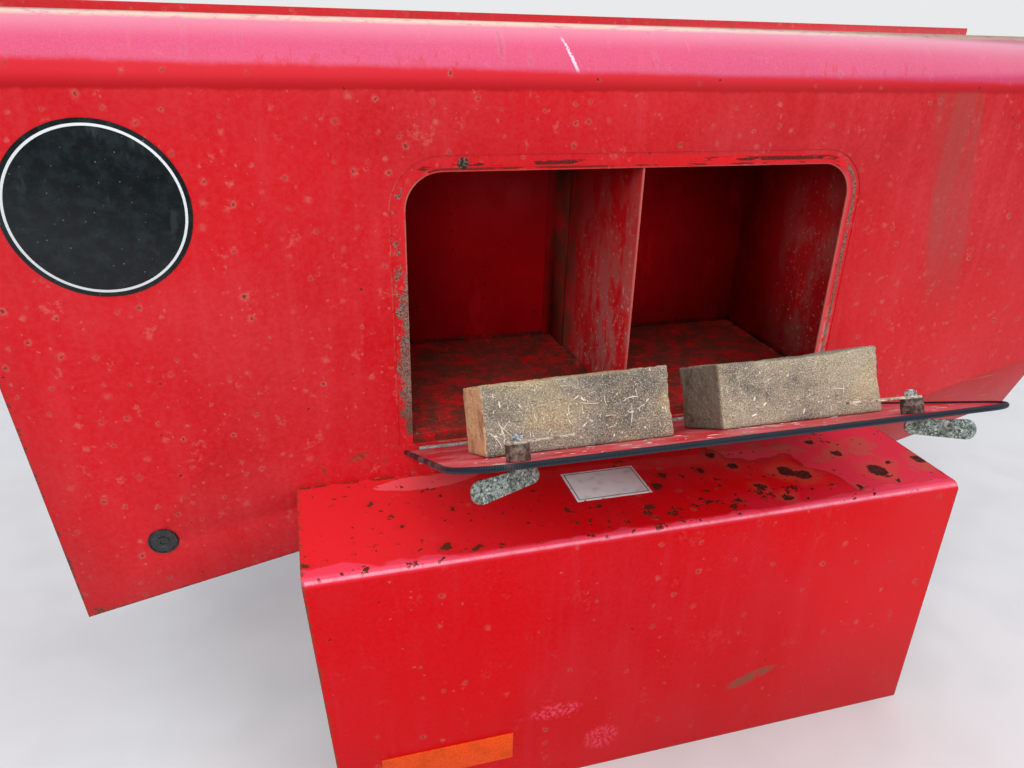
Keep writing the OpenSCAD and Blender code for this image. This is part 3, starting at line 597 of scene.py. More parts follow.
def topWear(finish, colour, onTop):
    # Brighter red at the left and middle, partly wet paint and partly a painted reflection of the hood's red
    # face; pink at the right behind a wavy edge, partly dry dusty paint and partly a painted sheen of the
    # sky; with rust marks
    s = guardTop
    ragged, crowd = finish.torn(), finish.swell().smooth(0.40, 0.62)
    nearBend = finish.y.smooth(-0.570, -0.620) * finish.y.smooth(-0.640, -0.634)
    shore = finish.x + (finish.swell() - 0.5) * 0.26 + (finish.y + 0.53) * 1.2
    dryAndSheen = shore.smooth(0.236, 0.242)
    rim = shore.smooth(0.205, 0.238) * (1 - dryAndSheen)
    # Painted reflection: brighter red at the left, partly wet paint and partly the hood's red face mirrored
    colour = finish.mix(colour, s["wet"], onTop * finish.x.smooth(-0.10, -0.34) * 0.55)
    # Painted sheen: pink at the right, partly dry dusty paint and partly the sky mirrored
    colour = finish.mix(colour, s["dryAndSheen"], onTop * dryAndSheen * 0.66)
    colour = finish.mix(colour, s["rim"], onTop * rim * 0.45)
    colour = finish.mix(colour, s["edge"], onTop * (1 - dryAndSheen) * shore.smooth(-0.02, 0.0) * nearBend * 0.5)
    crescent = finish.blot(finish.x, finish.y + (finish.swell() - 0.5) * 0.030, -0.322, -0.444, 0.088, 0.020)
    colour = finish.mix(colour, s["crescent"], crescent.smooth(0.10, 0.22) * onTop * 0.60)
    colour, inner = insideDirt(finish, colour, 0.75)
    pushed = finish.warped(finish.vector(finish.x, finish.y), 0.017, 60.0)
    field = markField(finish, finish.warped(pushed, 0.0086, 190.0), guardMarks)
    # Small marks crowd towards the bend, the middle and the joint with the hood
    joint = finish.y.smooth(-0.427, -0.4225) * ragged.smooth(0.46, 0.52)
    swarm = (finish.blot(finish.x, finish.y, 0.17, -0.588, 0.12, 0.030)
             + finish.blot(finish.x, finish.y, 0.01, -0.606, 0.12, 0.020))
    small = (ragged + nearBend * 0.02 + swarm * 0.075 + crowd * 0.04 - 0.008).smooth(0.655, 0.680)
    small = (small + joint * 0.9).maths("MINIMUM", 1.0)
    rusting = finish.x.smooth(-0.05, 0.12) * 0.75 + 0.25
    stain = (field.smooth(-1.3, -0.1) * (finish.patchy() * 0.7 + 0.2) * rusting
             + (ragged + nearBend * 0.03).smooth(0.61, 0.70) * 0.6).maths("MINIMUM", 1.0)
    tone = finish.mix(s["stainDark"], s["stainPale"], finish.x.smooth(0.06, 0.24))
    colour = finish.mix(colour, tone, onTop * stain * (1 - inner) * 0.80)
    olive = finish.noise(15.0, 3.0, None, 0.6).smooth(0.54, 0.60) * dryAndSheen * ragged.smooth(0.36, 0.56)
    colour = finish.mix(colour, s["olive"], onTop * olive * 0.55)
    pecks = finish.specks(pushed, 0.026, 0.30, 0.0012, 0.0042, 0.5)
    marks = (small + field.smooth(0.05, 0.28) + pecks * (1 - dryAndSheen)).maths("MINIMUM", 1.0)
    marks = marks * onTop * (1 - inner)
    dark = finish.mix(s["markBrown"], s["markBlack"], finish.x.smooth(-0.1, 0.2))
    dark = finish.mix(dark, s["markPale"], finish.crumbly().smooth(0.5, 0.7))
    return finish.mix(colour, dark, marks * 0.94), marks, dryAndSheen, inner


# glow, bend and tongue are the pinks of the painted highlight along the bend
guardFront = dict(glow=rgb(238, 84, 112), bend=rgb(252, 158, 178), tongue=rgb(240, 84, 116),
                  scuff=rgb(104, 82, 60), bloom=rgb(232, 74, 98), shade=rgb(160, 20, 26),
                  nick=rgb(124, 64, 44))


def bendSheen(finish, place, colour, onTop, whole):
    # Painted highlight: the sky's sheen along the bend, painted pink, which runs up the top in tongues,
    # furthest at the two ends
    s = guardFront
    across = (finish.y - place["front"]) + (finish.z - place["top"])  # 0 in the middle, above 0 on the top
    bend = across.smooth(mm(-5), mm(-1)) * across.smooth(mm(4.5), mm(1.5))
    glow = across.smooth(mm(-10), mm(-1)) * across.smooth(mm(16), mm(4))
    broken = finish.torn().smooth(0.3, 0.6)
    # Painted highlight: a pink glow and a paler line along the bend
    colour = finish.mix(colour, s["glow"], glow * whole * (broken * 0.25 + 0.25))
    colour = finish.mix(colour, s["bend"], bend * whole * (broken * 0.30 + 0.30))
    reach = finish.x.smooth(-0.30, -0.46) * 0.016 + finish.x.smooth(0.10, 0.35) * 0.012 + 0.008
    reach = reach + (finish.noise(16.0, 2.0) - 0.5) * 0.048
    # Painted sheen: tongues of pink running up the top from the bend
    tongues = (finish.y - place["front"] - reach).smooth(0.003, 0.0)
    return finish.mix(colour, s["tongue"], tongues * onTop * (1 - bend) * whole * 0.42), bend


def frontMarks(finish, place, colour, onTop):
    # A brown scuff, two chalky blooms, a painted shadow darkening the foot at the right, and nicks along the
    # edges
    s = guardFront
    front = finish.y.smooth(place["front"] + mm(6), place["front"] + mm(2)) * (1 - onTop)
    scuff = finish.blot(finish.x, finish.z - finish.x * 0.30, 0.160, -0.678, 0.050, 0.013)
    colour = finish.mix(colour, s["scuff"], scuff * finish.torn().smooth(0.34, 0.50) * front * 0.85)
    bloom = (finish.blot(finish.x, finish.z, -0.169, -0.615, 0.048, 0.018)
             + finish.blot(finish.x, finish.z, -0.092, -0.690, 0.036, 0.028))
    colour = finish.mix(colour, s["bloom"], bloom * finish.crumbly().smooth(0.42, 0.62) * front * 0.80)
    shade = finish.z.smooth(-0.52, -0.76) * finish.x.smooth(-0.25, 0.15)
    colour = finish.mix(colour, s["shade"], shade * front * 0.40)
    leftAway = finish.x - place["left"] - (place["top"] - finish.z) * 0.0638
    nicks = edgeNicks(finish, leftAway, 0.008) + edgeNicks(finish, place["right"] - finish.x, 0.006) * 0.7
    nicks = nicks + edgeNicks(finish, finish.z - place["foot"], 0.006) * 0.8
    return finish.mix(colour, s["nick"], nicks.maths("MINIMUM", 1.0) * 0.85)


def guardRed():
    s = guardPaint
    finish = Finish("guardRed")
    colour, halo = wearBase(finish, s, finish.vector(finish.x, finish.z - finish.y))[:2]
    onTop = finish.z.smooth(s["top"] - mm(7), s["top"] - mm(1))
    colour, marks, dryAndSheen, inner = topWear(finish, colour, onTop)
    colour, bend = bendSheen(finish, s, colour, onTop, (1 - marks) * (1 - inner))
    colour = frontMarks(finish, s, colour, onTop)
    bend = bend * (1 - inner)
    glossy = (bend * 0.9 + onTop * (1 - marks) * 0.35) * (1 - inner)
    rough = 0.34 + marks * 0.4 + dryAndSheen * onTop * 0.10 + halo * 0.2 + finish.swell() * 0.08 - bend * 0.1
    return finish.surface(colour, rough, [(finish.noise(4.0, 1.0), 0.006)],
                          coat=glossy.maths("MINIMUM", 1.0),
                          **{"Coat Roughness": 0.10, "Coat IOR": 1.7, "Specular IOR Level": 0.08})


linerPaint = dict(red=rgb(206, 8, 24), deep=rgb(176, 2, 16), dust=rgb(172, 98, 92), haze=rgb(150, 74, 70),
                  worn=rgb(214, 14, 26), scuff=rgb(196, 172, 154), speck=rgb(60, 30, 28),
                  edge=rgb(196, 112, 104), brown=rgb(104, 66, 48), grime=rgb(72, 48, 36),
                  crumb=rgb(150, 126, 92))


def linerRed():
    s = linerPaint
    finish = Finish("linerRed")
    colour = finish.mix(s["red"], s["deep"], finish.noise(4.0, 4.0).smooth(0.35, 0.70))
    low = finish.z.smooth(0.16, -0.20)
    film = finish.noise(17.0, 4.0, finish.stretched(1, 1, 0.55), 0.74).smooth(0.42, 0.59)
    onDivider = finish.x.maths("ABSOLUTE").smooth(0.012, 0.006)
    nearMouth = finish.y.smooth(-0.08, -0.30)
    onWall = finish.x.maths("ABSOLUTE").smooth(0.384, 0.388)
    dusty = (onDivider + onWall) * nearMouth
    colour = finish.mix(colour, s["dust"], film * (low * 0.65 + 0.20) * dusty)
    haze = finish.noise(3.0, 3.0).smooth(0.30, 0.70)
    colour = finish.mix(colour, s["haze"], dusty * haze * (low * 0.36 + 0.06))
    wiped = finish.noise(1.0, 3.0, finish.stretched(24, 24, 6), 0.65).smooth(0.60, 0.64)
    colour = finish.mix(colour, s["worn"], wiped * 0.6)
    scuffs = finish.noise(110.0, 3.0, None, 0.8).smooth(0.59, 0.67) * dusty * (low * 0.8 + 0.2)
    colour = finish.mix(colour, s["scuff"], scuffs * 0.75)
    at = finish.vector(finish.x + finish.y, finish.z - finish.y)
    colour = finish.mix(colour, s["speck"], finish.specks(at, 0.034, 0.30, 0.001, 0.003) * 0.7)
    edge = finish.y.smooth(faceY + mm(9), faceY + mm(5)) * onDivider
    colour = finish.mix(colour, s["edge"], edge * 0.55)
    rear = onDivider * finish.y.smooth(-0.20, -0.15)
    colour = finish.mix(colour, s["brown"], rear * finish.noise(18.0, 3.0).smooth(0.36, 0.60) * 0.8)
    grime = finish.noise(34.0, 3.0, None, 0.8).smooth(0.26, 0.60) * finish.z.smooth(-0.234, -0.242)
    colour = finish.mix(colour, s["grime"], grime * 0.85)
    crumbs = finish.noise(240.0, 2.0, None, 0.8).smooth(0.62, 0.68) * finish.z.smooth(-0.234, -0.242)
    colour = finish.mix(colour, s["crumb"], crumbs * 0.7)
    return finish.surface(colour, 0.50 + film * 0.25, [(finish.noise(5.0, 1.0), 0.005)],
                          **{"Specular IOR Level": 0.3})


stripLook = dict(red=rgb(176, 8, 14), deep=rgb(120, 12, 12), brown=rgb(84, 44, 30))


def stripBrown():
    s = stripLook
    finish = Finish("stripBrown")
    low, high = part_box("divider_angle")
    colour = finish.mix(s["red"], s["deep"], finish.noise(16.0, 5.0).smooth(0.38, 0.62))
    brown = finish.x.smooth(low.x + (high.x - low.x) * 0.35, high.x - (high.x - low.x) * 0.15)
    colour = finish.mix(colour, s["brown"], brown * finish.noise(24.0, 6.0).smooth(0.30, 0.60) * 0.85)
    return finish.surface(colour, 0.62, [(finish.noise(60.0, 4.0), 0.0004)])


greyLook = dict(dark=rgb(122, 119, 113), pale=rgb(182, 179, 170), rust=rgb(110, 68, 46))


def weatheredGrey():
    # Dull zinc with a fine grain, rusting in small spots
    s = greyLook
    finish = Finish("weatheredGrey")
    grain = finish.noise(320.0, 5.0, finish.stretched(0.25, 1, 1), 0.7)
    colour = finish.mix(s["dark"], s["pale"], grain.smooth(0.36, 0.66))
    colour = finish.mix(colour, s["rust"], finish.noise(110.0, 5.0, None, 0.7).smooth(0.57, 0.64) * 0.75)
    return finish.surface(colour, 0.58, [(grain, 0.0003)], metal=0.35)


screwLook = dict(dark=rgb(34, 26, 22), pale=rgb(112, 92, 76))


def screwRust():
    s = screwLook
    finish = Finish("screwRust")
    rust = finish.noise(300.0, 5.0, None, 0.7)
    colour = finish.mix(s["dark"], s["pale"], rust.smooth(0.46, 0.62))
    return finish.surface(colour, 0.75, [(rust, 0.0010)])


doorPaint = dict(red=rgb(196, 26, 38), dust=rgb(204, 112, 116), scrape=rgb(204, 26, 36),
                 straw=rgb(126, 98, 70), chip=rgb(60, 34, 30))


def doorRed():
    # The hood's worn paint outside; inside, paint under a film of dust and chaff, scraped through in lines
    s = doorPaint
    finish = Finish("doorRed")
    inner = finish.add("ShaderNodeAttribute", {"attribute_name": "inner"}, None, "Fac")
    at = finish.vector(finish.x, finish.z - finish.y)
    outside, halo = wearBase(finish, hoodPaint, at)[:2]
    film = finish.noise(14.0, 6.0, None, 0.65).smooth(0.34, 0.64)
    colour = finish.mix(s["red"], s["dust"], film * 0.80)
    scrape = finish.noise(1.0, 4.0, finish.stretched(9, 60, 60)).smooth(0.60, 0.70)
    colour = finish.mix(colour, s["scrape"], scrape * 0.6)
    dirt = finish.noise(55.0, 5.0).smooth(0.56, 0.66)
    colour = finish.mix(colour, s["straw"], dirt * 0.55)
    chips = finish.specks(finish.warped(at, 0.01, 60.0), 0.024, 0.25, 0.0008, 0.0030)
    colour = finish.mix(colour, s["chip"], chips * 0.85)
    colour = finish.mix(outside, colour, inner)
    return finish.surface(colour, 0.46 + film * 0.2 * inner + halo * 0.2, [(finish.noise(5.0, 1.0), 0.005)],
                          **{"Specular IOR Level": 0.32})


zincLook = dict(dark=rgb(66, 78, 76), pale=rgb(176, 186, 176), bloom=rgb(216, 218, 200),
                stain=rgb(84, 80, 58))


def zinc():
    # Spangle: small crystals, each its own grey, with white bloom and brown stain over them
    s = zincLook
    finish = Finish("zincSpangle")
    at = finish.warped(finish.place, 0.004, 200.0)
    drawn = finish.add("ShaderNodeTexVoronoi", None, {"Vector": at, "Scale": 360.0}, "Color")
    grey = finish.add("ShaderNodeSeparateColor", None, {0: drawn}, 0)
    grey = grey * 0.6 + finish.noise(700.0, 3.0, None, 0.8).smooth(0.35, 0.65) * 0.4
    colour = finish.mix(s["dark"], s["pale"], grey.smooth(0.12, 0.85))
    bloom = finish.noise(330.0, 5.0, None, 0.7).smooth(0.55, 0.60)
    colour = finish.mix(colour, s["bloom"], bloom * 0.75)
    stain = finish.noise(45.0, 4.0).smooth(0.52, 0.66)
    colour = finish.mix(colour, s["stain"], stain * 0.6)
    return finish.surface(colour, 0.38 + grey * 0.22, [(grey, 0.00012), (bloom, 0.0001)],
                          metal=0.8 - bloom * 0.5)


boltLook = dict(dark=rgb(112, 106, 100), pale=rgb(206, 212, 214))


def boltGrey():
    s = boltLook
    finish = Finish("boltGrey")
    worn = finish.noise(240.0, 4.0, None, 0.7).smooth(0.42, 0.60)
    colour = finish.mix(s["dark"], s["pale"], worn)
    return finish.surface(colour, 0.5, [(worn, 0.0002)], metal=0.5)


tongueLook = dict(dark=rgb(150, 132, 108), pale=rgb(226, 218, 194), rust=rgb(108, 60, 48))


def tongueWorn():
    s = tongueLook
    finish = Finish("tongueWorn")
    grain = finish.noise(1.0, 5.0, finish.stretched(90, 460, 460), 0.7).smooth(0.36, 0.62)
    colour = finish.mix(s["dark"], s["pale"], grain)
    colour = finish.mix(colour, s["rust"], finish.noise(90.0, 5.0).smooth(0.55, 0.62) * 0.7)
    return finish.surface(colour, 0.7, [(grain, 0.0006)])


spacerLook = dict(dark=rgb(68, 55, 48), pale=rgb(128, 112, 98))


def spacerBrown():
    s = spacerLook
    finish = Finish("spacerBrown")
    rust = finish.noise(150.0, 5.0, None, 0.7).smooth(0.42, 0.60)
    colour = finish.mix(s["dark"], s["pale"], rust)
    return finish.surface(colour, 0.66, [(rust, 0.0005)], metal=0.25)


# groove and rib: the rubber painted darker in the grooves and lighter on the ribs, painted shade and
# highlight
rubberLook = dict(groove=rgb(4, 6, 9), rib=rgb(32, 45, 60), dust=rgb(122, 104, 84))


def trimRubber():
    s = rubberLook
    finish = Finish("trimRubber")
    across = finish.add("ShaderNodeAttribute", {"attribute_name": "groove"}, None, "Fac")
    dust = finish.noise(30.0, 5.0).smooth(0.45, 0.72)
    # Painted shade and highlight: darker in the grooves, lighter on the ribs, after the ribbing of the shape
    colour = finish.mix(s["groove"], s["rib"], across * 0.80 + dust * 0.15)
    colour = finish.mix(colour, s["dust"], dust * finish.x.smooth(-0.25, -0.34) * 0.55)
    return finish.surface(colour, 0.30 + dust * 0.2, **{"Specular IOR Level": 0.30})


foamLook = dict(front=rgb(150, 141, 122), dark=rgb(84, 80, 74), tan=rgb(166, 146, 104),
                ochre=rgb(212, 176, 130), ochreStain=rgb(150, 106, 66), olive=rgb(120, 114, 98),
                oliveStain=rgb(76, 66, 54), bright=rgb(208, 194, 160), grain=rgb(222, 216, 200),
                pore=rgb(40, 34, 28), fleck=rgb(216, 206, 182))


def foamFinish(name, cutTone, faded):
    # Old open foam: grimy in soft patches, with pale and dark grains of the torn cells
    # cutTone is the colour of its cut ends, and faded the share of pale patches
    s = foamLook
    finish = Finish(name)
    cut = finish.add("ShaderNodeAttribute", {"attribute_name": "cut"}, None, "Fac")
    broad = finish.noise(11.0, 4.0).smooth(0.36, 0.62)
    mottled = finish.noise(60.0, 4.0, None, 0.7).smooth(0.30, 0.66)
    grain = finish.noise(560.0, 3.0, None, 0.85)
    colour = finish.mix(s["dark"], s["front"], mottled * 0.32 + broad * 0.62)
    tanned = finish.noise(8.0, 3.0, finish.stretched(1, 1, 1.6)).smooth(0.50, 0.64)
    colour = finish.mix(colour, s["tan"], tanned * 0.7)
    bright = finish.noise(13.0, 3.0, None, 0.6).smooth(0.34, 0.60)
    colour = finish.mix(colour, s["bright"], bright * faded)
    sideTone = finish.mix(s[cutTone], s[cutTone + "Stain"], finish.noise(34.0, 3.0).smooth(0.48, 0.70) * 0.7)
    colour = finish.mix(colour, sideTone, cut)
    colour = finish.mix(colour, s["grain"], grain.smooth(0.52, 0.64) * (1 - cut * 0.7) * 0.60)
    colour = finish.mix(colour, s["pore"], grain.smooth(0.46, 0.36) * (1 - cut * 0.6) * 0.60)
    pores = finish.add("ShaderNodeTexVoronoi", None, {"Vector": finish.place, "Scale": 520.0}, "Distance")
    flecks = finish.specks(finish.vector(finish.x, finish.z - finish.y), 0.0085, 0.20, 0.0004, 0.0012)
    colour = finish.mix(colour, s["fleck"], flecks * (1 - cut) * 0.8)
    return finish.surface(colour, 0.92, [(pores, 0.0012), (mottled, 0.0010)], **{"Specular IOR Level": 0.2})


def strawFinish(name, light, dark):
    finish = Finish(name)
    colour = finish.mix(light, dark, finish.noise(90.0, 3.0).smooth(0.35, 0.70))
    return finish.surface(colour, 0.7)


discLook = dict(ringIn=0.0960, ringOut=0.0988, black=rgb(4, 10, 13), white=rgb(214, 219, 220),
                bloom=rgb(44, 58, 60), scuff=rgb(66, 74, 78), dust=rgb(120, 122, 120))


def discBlack():
    s = discLook
    finish = Finish("discBlack")
    low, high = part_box("marker_disc")
    dx, dz = finish.x - (low.x + high.x) / 2, finish.z - (low.z + high.z) / 2
    away = (dx * dx + dz * dz).maths("SQRT")
    ringIn, ringOut = s["ringIn"], s["ringOut"]
    ring = away.smooth(ringIn - mm(0.3), ringIn) * away.smooth(ringOut + mm(0.3), ringOut)
    scuffs = finish.noise(1.0, 5.0, finish.stretched(70, 1, 30)).smooth(0.60, 0.72)
    dust = finish.specks(finish.vector(finish.x, finish.z), 0.011, 0.22, 0.0003, 0.0010)
    bloom = finish.noise(60.0, 6.0, None, 0.75).smooth(0.40, 0.66)
    colour = finish.mix(s["black"], s["bloom"], bloom * 0.28)
    colour = finish.mix(colour, s["scuff"], scuffs * 0.20)
    colour = finish.mix(colour, s["dust"], dust * 0.6)
    colour = finish.mix(colour, s["white"], ring)
    return finish.surface(colour, 0.34 + scuffs * 0.2, [(finish.noise(12.0, 2.0), 0.0008)],
                          **{"Specular IOR Level": 0.3})


plugLook = dict(black=rgb(12, 15, 19), worn=rgb(74, 76, 74))


def plugBlack():
    # Moulded plastic, glossy where it isn't dusty, with a pale ring on the boss that is partly rubbed and
    # partly a painted highlight
    s = plugLook
    finish = Finish("plugBlack")
    low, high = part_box("plug")
    dx, dz = finish.x - (low.x + high.x) / 2, finish.z - (low.z + high.z) / 2
    away = (dx * dx + dz * dz).maths("SQRT")
    dust = finish.noise(160.0, 5.0, None, 0.7).smooth(0.50, 0.66)
    # Painted highlight, partly rubbed plastic: a pale ring on the boss
    boss = away.smooth(mm(9.5), mm(7.5)) * away.smooth(mm(3), mm(4.5))
    colour = finish.mix(s["black"], s["worn"], (dust * 0.35 + boss * dust * 0.4).maths("MINIMUM", 1.0))
    return finish.surface(colour, 0.26 + dust * 0.25, coat=0.2, **{"Coat Roughness": 0.15})


plateLook = dict(half=(0.0585, 0.0385), inset=0.0035, lineWidth=0.0012, white=rgb(232, 255, 255),
                 grime=rgb(190, 210, 212), line=rgb(40, 44, 48), rim=rgb(70, 50, 42))


def plateWhite():
    # A blank plate with one thin dark line inside its edge
    s = plateLook
    finish = Finish("plateWhite")
    low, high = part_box("blank_plate")
    along = (finish.x - (low.x + high.x) / 2).maths("ABSOLUTE")
    across = (finish.y - (low.y + high.y) / 2).maths("ABSOLUTE")
    toEdge = (s["half"][0] - along).maths("MINIMUM", s["half"][1] - across)
    lineEnd = s["inset"] + s["lineWidth"]
    line = toEdge.smooth(s["inset"] - mm(0.2), s["inset"]) * toEdge.smooth(lineEnd + mm(0.2), lineEnd)
    grime = finish.noise(60.0, 5.0).smooth(0.46, 0.70)
    colour = finish.mix(s["white"], s["grime"], grime * 0.55)
    colour = finish.mix(colour, s["line"], line)
    rim = toEdge.smooth(0.004, 0.0) * finish.noise(70.0, 4.0).smooth(0.6, 0.66)
    colour = finish.mix(colour, s["rim"], rim)
    return finish.surface(colour, 0.40 + grime * 0.2)


reflectorLook = dict(pale=rgb(238, 86, 4), deep=rgb(220, 66, 8), grime=rgb(176, 66, 30))


def reflectorOrange():
    s = reflectorLook
    finish = Finish("reflectorOrange")
    cells = finish.add("ShaderNodeTexVoronoi", None, {"Vector": finish.place, "Scale": 420.0}, "Distance")
    grime = finish.noise(40.0, 5.0).smooth(0.50, 0.70)
    colour = finish.mix(s["pale"], s["deep"], cells.smooth(0.2, 0.6))
    colour = finish.mix(colour, s["grime"], grime * 0.35)
    return finish.surface(colour, 0.40 + grime * 0.25, [(cells, 0.0002)], **{"Specular IOR Level": 0.25})


boltHoles = [(x, z) for x in (-0.3, 0.3) for z in (-0.2, 0.2)]
red, guard, liner = hoodRed(), guardRed(), linerRed()
frameRed = plainRed("frameRed", hoodPaint, 0.55, 0.6, boltHoles)
bevelRed = plainRed("bevelRed", dict(hoodPaint, red=rgb(190, 8, 18)), 0.10, 0.15)
zincCoat, bolts, hinges = zinc(), boltGrey(), weatheredGrey()
finishes = dict(
    hood_shell=red, lower_lip=red, bevel_panel=bevelRed,
    end_panel_left=plainRed("endRed", hoodPaint, 0.15),
    end_panel_right=plainRed("endRedRight", hoodPaint, 0.15),
    liner_floor=liner, liner_back=liner, liner_wall_left=liner, liner_wall_right=liner, divider=liner,
    divider_angle=stripBrown(), rail_left=frameRed, rail_right=frameRed, stop_lugs=frameRed,
    sill_strip=plainRed("sillRed", hoodPaint, 0.60),
    hinge_fixed=hinges, hinge_pin=hinges, hinge_moving=hinges, rim_screw=screwRust(),
    marker_disc=discBlack(), plug=plugBlack(), door_panel=doorRed(),
    guard_shell=guard, guard_end_left=guard, guard_end_right=guard, guard_bolts=zincCoat,
    reflector=reflectorOrange(), blank_plate=plateWhite(),
    latch_left_bolt=bolts, latch_right_bolt=bolts, latch_left_wing=zincCoat, latch_right_wing=zincCoat,
    latch_left_spacer=spacerBrown(), latch_right_spacer=spacerBrown(),
    latch_left_tongue=tongueWorn(), latch_right_tongue=tongueWorn(),
)
print("finishes made:", len(finishes))

softEdges = dict(hood_shell=0.0010, guard_shell=0.0012, bevel_panel=0.0008, end_panel_left=0.0008,
                 end_panel_right=0.0008, lower_lip=0.0006, guard_end_left=0.0008, guard_end_right=0.0008,
                 divider=0.0006, liner_floor=0.0006, door_panel=0.0006, stop_lugs=0.0008, rail_left=0.0010,
                 rail_right=0.0010, sill_strip=0.0006, latch_left_wing=0.0009, latch_right_wing=0.0009,
                 latch_left_tongue=0.0007, latch_right_tongue=0.0007, latch_left_spacer=0.0006,
                 latch_right_spacer=0.0006, latch_left_bolt=0.0005, latch_right_bolt=0.0005,
                 guard_bolts=0.0005, hinge_fixed=0.0003, hinge_moving=0.0003, plug=0.0005, rim_screw=0.0003,
                 blank_plate=0.0002, reflector=0.0006, marker_disc=0.0002)


def markInner(name, mesh):  # attribute inner: 1 on the faces that look inwards
    raw = np.empty(len(mesh.polygons) * 3)
    mesh.polygons.foreach_get("normal", raw)
    normals = raw.reshape(-1, 3)
    inner = (normals[:, 1] > 0.3) | (normals[:, 2] < -0.5)
    if name == "door_panel":
        inner = normals @ offDoor > 0.3
    mesh.attributes.new("inner", "FLOAT", "FACE").data.foreach_set("value", inner.astype(np.float32))


def dressNode(name):
    # The node keeps its mesh; its corners are welded and its sharp edges rounded by modifiers
    node = nodes[name]
    if name in ("hood_shell", "guard_shell", "door_panel"):
        markInner(name, node.data)
    node.data.materials.clear()
    node.data.materials.append(finishes[name])
    node.data.polygons.foreach_set("use_smooth", np.ones(len(node.data.polygons), bool))
    weld = node.modifiers.new("weld", "WELD")
    weld.merge_threshold = 0.00001
    if name in softEdges:
        flat = node.modifiers.new("flat", "DECIMATE")
        flat.decimate_type = "DISSOLVE"
        flat.angle_limit = math.radians(0.5)
        bevel = node.modifiers.new("bevel", "BEVEL")
        bevel.width = softEdges[name]
        bevel.segments = 2
        bevel.limit_method = "ANGLE"
        bevel.angle_limit = math.radians(35)
        bevel.harden_normals = True
        bevel.use_clamp_overlap = True


for name in finishes:
    dressNode(name)
print("nodes dressed")


# Meshes from grids of points
def gridMesh(name, points, body, material, wrapU=False, wrapV=False, values=None):
    # points is (nu, nv, 3); neighbouring points make quads, and a wrapped direction closes on itself
    nu, nv = points.shape[:2]
    i, j = np.meshgrid(np.arange(nu if wrapU else nu - 1), np.arange(nv if wrapV else nv - 1), indexing="ij")
    nextI, nextJ = (i + 1) % nu, (j + 1) % nv
    quads = np.stack([i * nv + j, nextI * nv + j, nextI * nv + nextJ, i * nv + nextJ], -1).reshape(-1, 4)
    return meshFrom(name, points.reshape(-1, 3), quads, body, material, values)


def meshFrom(name, points, faces, body, material, values=None):
    mesh = bpy.data.meshes.new(name)
    mesh.from_pydata(points.tolist(), [], faces.tolist())
    mesh.polygons.foreach_set("use_smooth", np.ones(len(mesh.polygons), bool))
    for key, value in (values or {}).items():
        attribute = mesh.attributes.new(key, "FLOAT", "POINT")
        attribute.data.foreach_set("value", value.astype(np.float32).ravel())
    mesh.materials.append(material)
    mesh.update()
    piece = bpy.data.objects.new(name, mesh)
    bpy.context.scene.collection.objects.link(piece)
    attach(piece, body)
    return piece


# Rubber trim: a tube with slanting ribs round the door's three free edges
trim = dict(rib=0.00042, pitch=0.0026, slant=2.0, along=0.0005, around=14, corner=0.060)


def trimPath(s):
    # Up the left side, round the corner, along the top and down the right side, in (x, up)
    low, high = doorSpan("door_trim")
    thick = (high[1] - low[1]) / 2
    half, top, start = (high[0] - low[0]) / 2 - thick, high[2] - thick, low[2] + 0.0005
    r = s["corner"]
    turn = np.linspace(0, math.pi / 2, 48)[1:-1]
    side = np.linspace(start, top - r, 60)
    edge = np.linspace(-half + r, half - r, 80)
    xs = np.concatenate([np.full(60, -half), -half + r - r * np.cos(turn), edge,
                         half - r + r * np.sin(turn), np.full(60, half)])
    ups = np.concatenate([side, top - r + r * np.sin(turn), np.full(80, top),
                          top - r + r * np.cos(turn), side[::-1]])
    step = np.hypot(np.diff(xs), np.diff(ups))
    length = np.concatenate([[0], np.cumsum(step)])
    even = np.arange(0, length[-1], s["along"])
    return np.interp(even, length, xs), np.interp(even, length, ups), even, (low[1] + high[1]) / 2, thick


def makeTrim(s):
    # Radius falls by a rib's depth with the cosine of the place along the tube plus the angle round it
    xs, ups, run, middle, thick = trimPath(s)
    heading = np.stack([np.gradient(xs), np.gradient(ups)], 1)
    heading /= np.linalg.norm(heading, axis=1)[:, None]
    angle = np.linspace(0, 2 * math.pi, s["around"], endpoint=False)
    phase = 2 * math.pi * run[:, None] / s["pitch"] + s["slant"] * angle[None, :]
    groove = 0.5 + 0.5 * np.cos(phase)
    radius = thick - 0.0001 - s["rib"] * (1 - groove) ** 2
    ends = np.clip(np.minimum(run, run[-1] - run) / 0.004, 0, 1)
    radius = radius * np.sqrt(1 - (1 - ends) ** 2)[:, None]
    sideX = radius * np.cos(angle)[None, :] * heading[:, 1:2]
    sideUp = -radius * np.cos(angle)[None, :] * heading[:, 0:1]
    points = onDoor(xs[:, None] + sideX, middle + radius * np.sin(angle)[None, :], ups[:, None] + sideUp)
    piece = gridMesh("trimRibbed", points[:, ::-1], "door", trimRubber(), wrapV=True,
                     values={"groove": groove[:, ::-1]})
    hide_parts("door_trim")


makeTrim(trim)
print("trim made")


def waves(points, size, seed, count=9):
    # Soft random field, about -1 to 1: a mean of sines in random directions at that wavelength
    draw = np.random.default_rng(seed)
    turn = draw.normal(size=(count, 3))
    turn *= 2 * math.pi / size / np.linalg.norm(turn, axis=1)[:, None] * draw.uniform(0.6, 1.5, (count, 1))
    return np.sin(points @ turn.T + draw.uniform(0, 2 * math.pi, count)).sum(-1) / math.sqrt(count)


# Foam blocks: cut foam with soft corners, a crowned and sagging top, and a crumbled skin
foam = dict(step=0.0026, corner=0.0040, crown=0.0020, skin=0.0007, crumb=0.0014, pinch=0.0014)


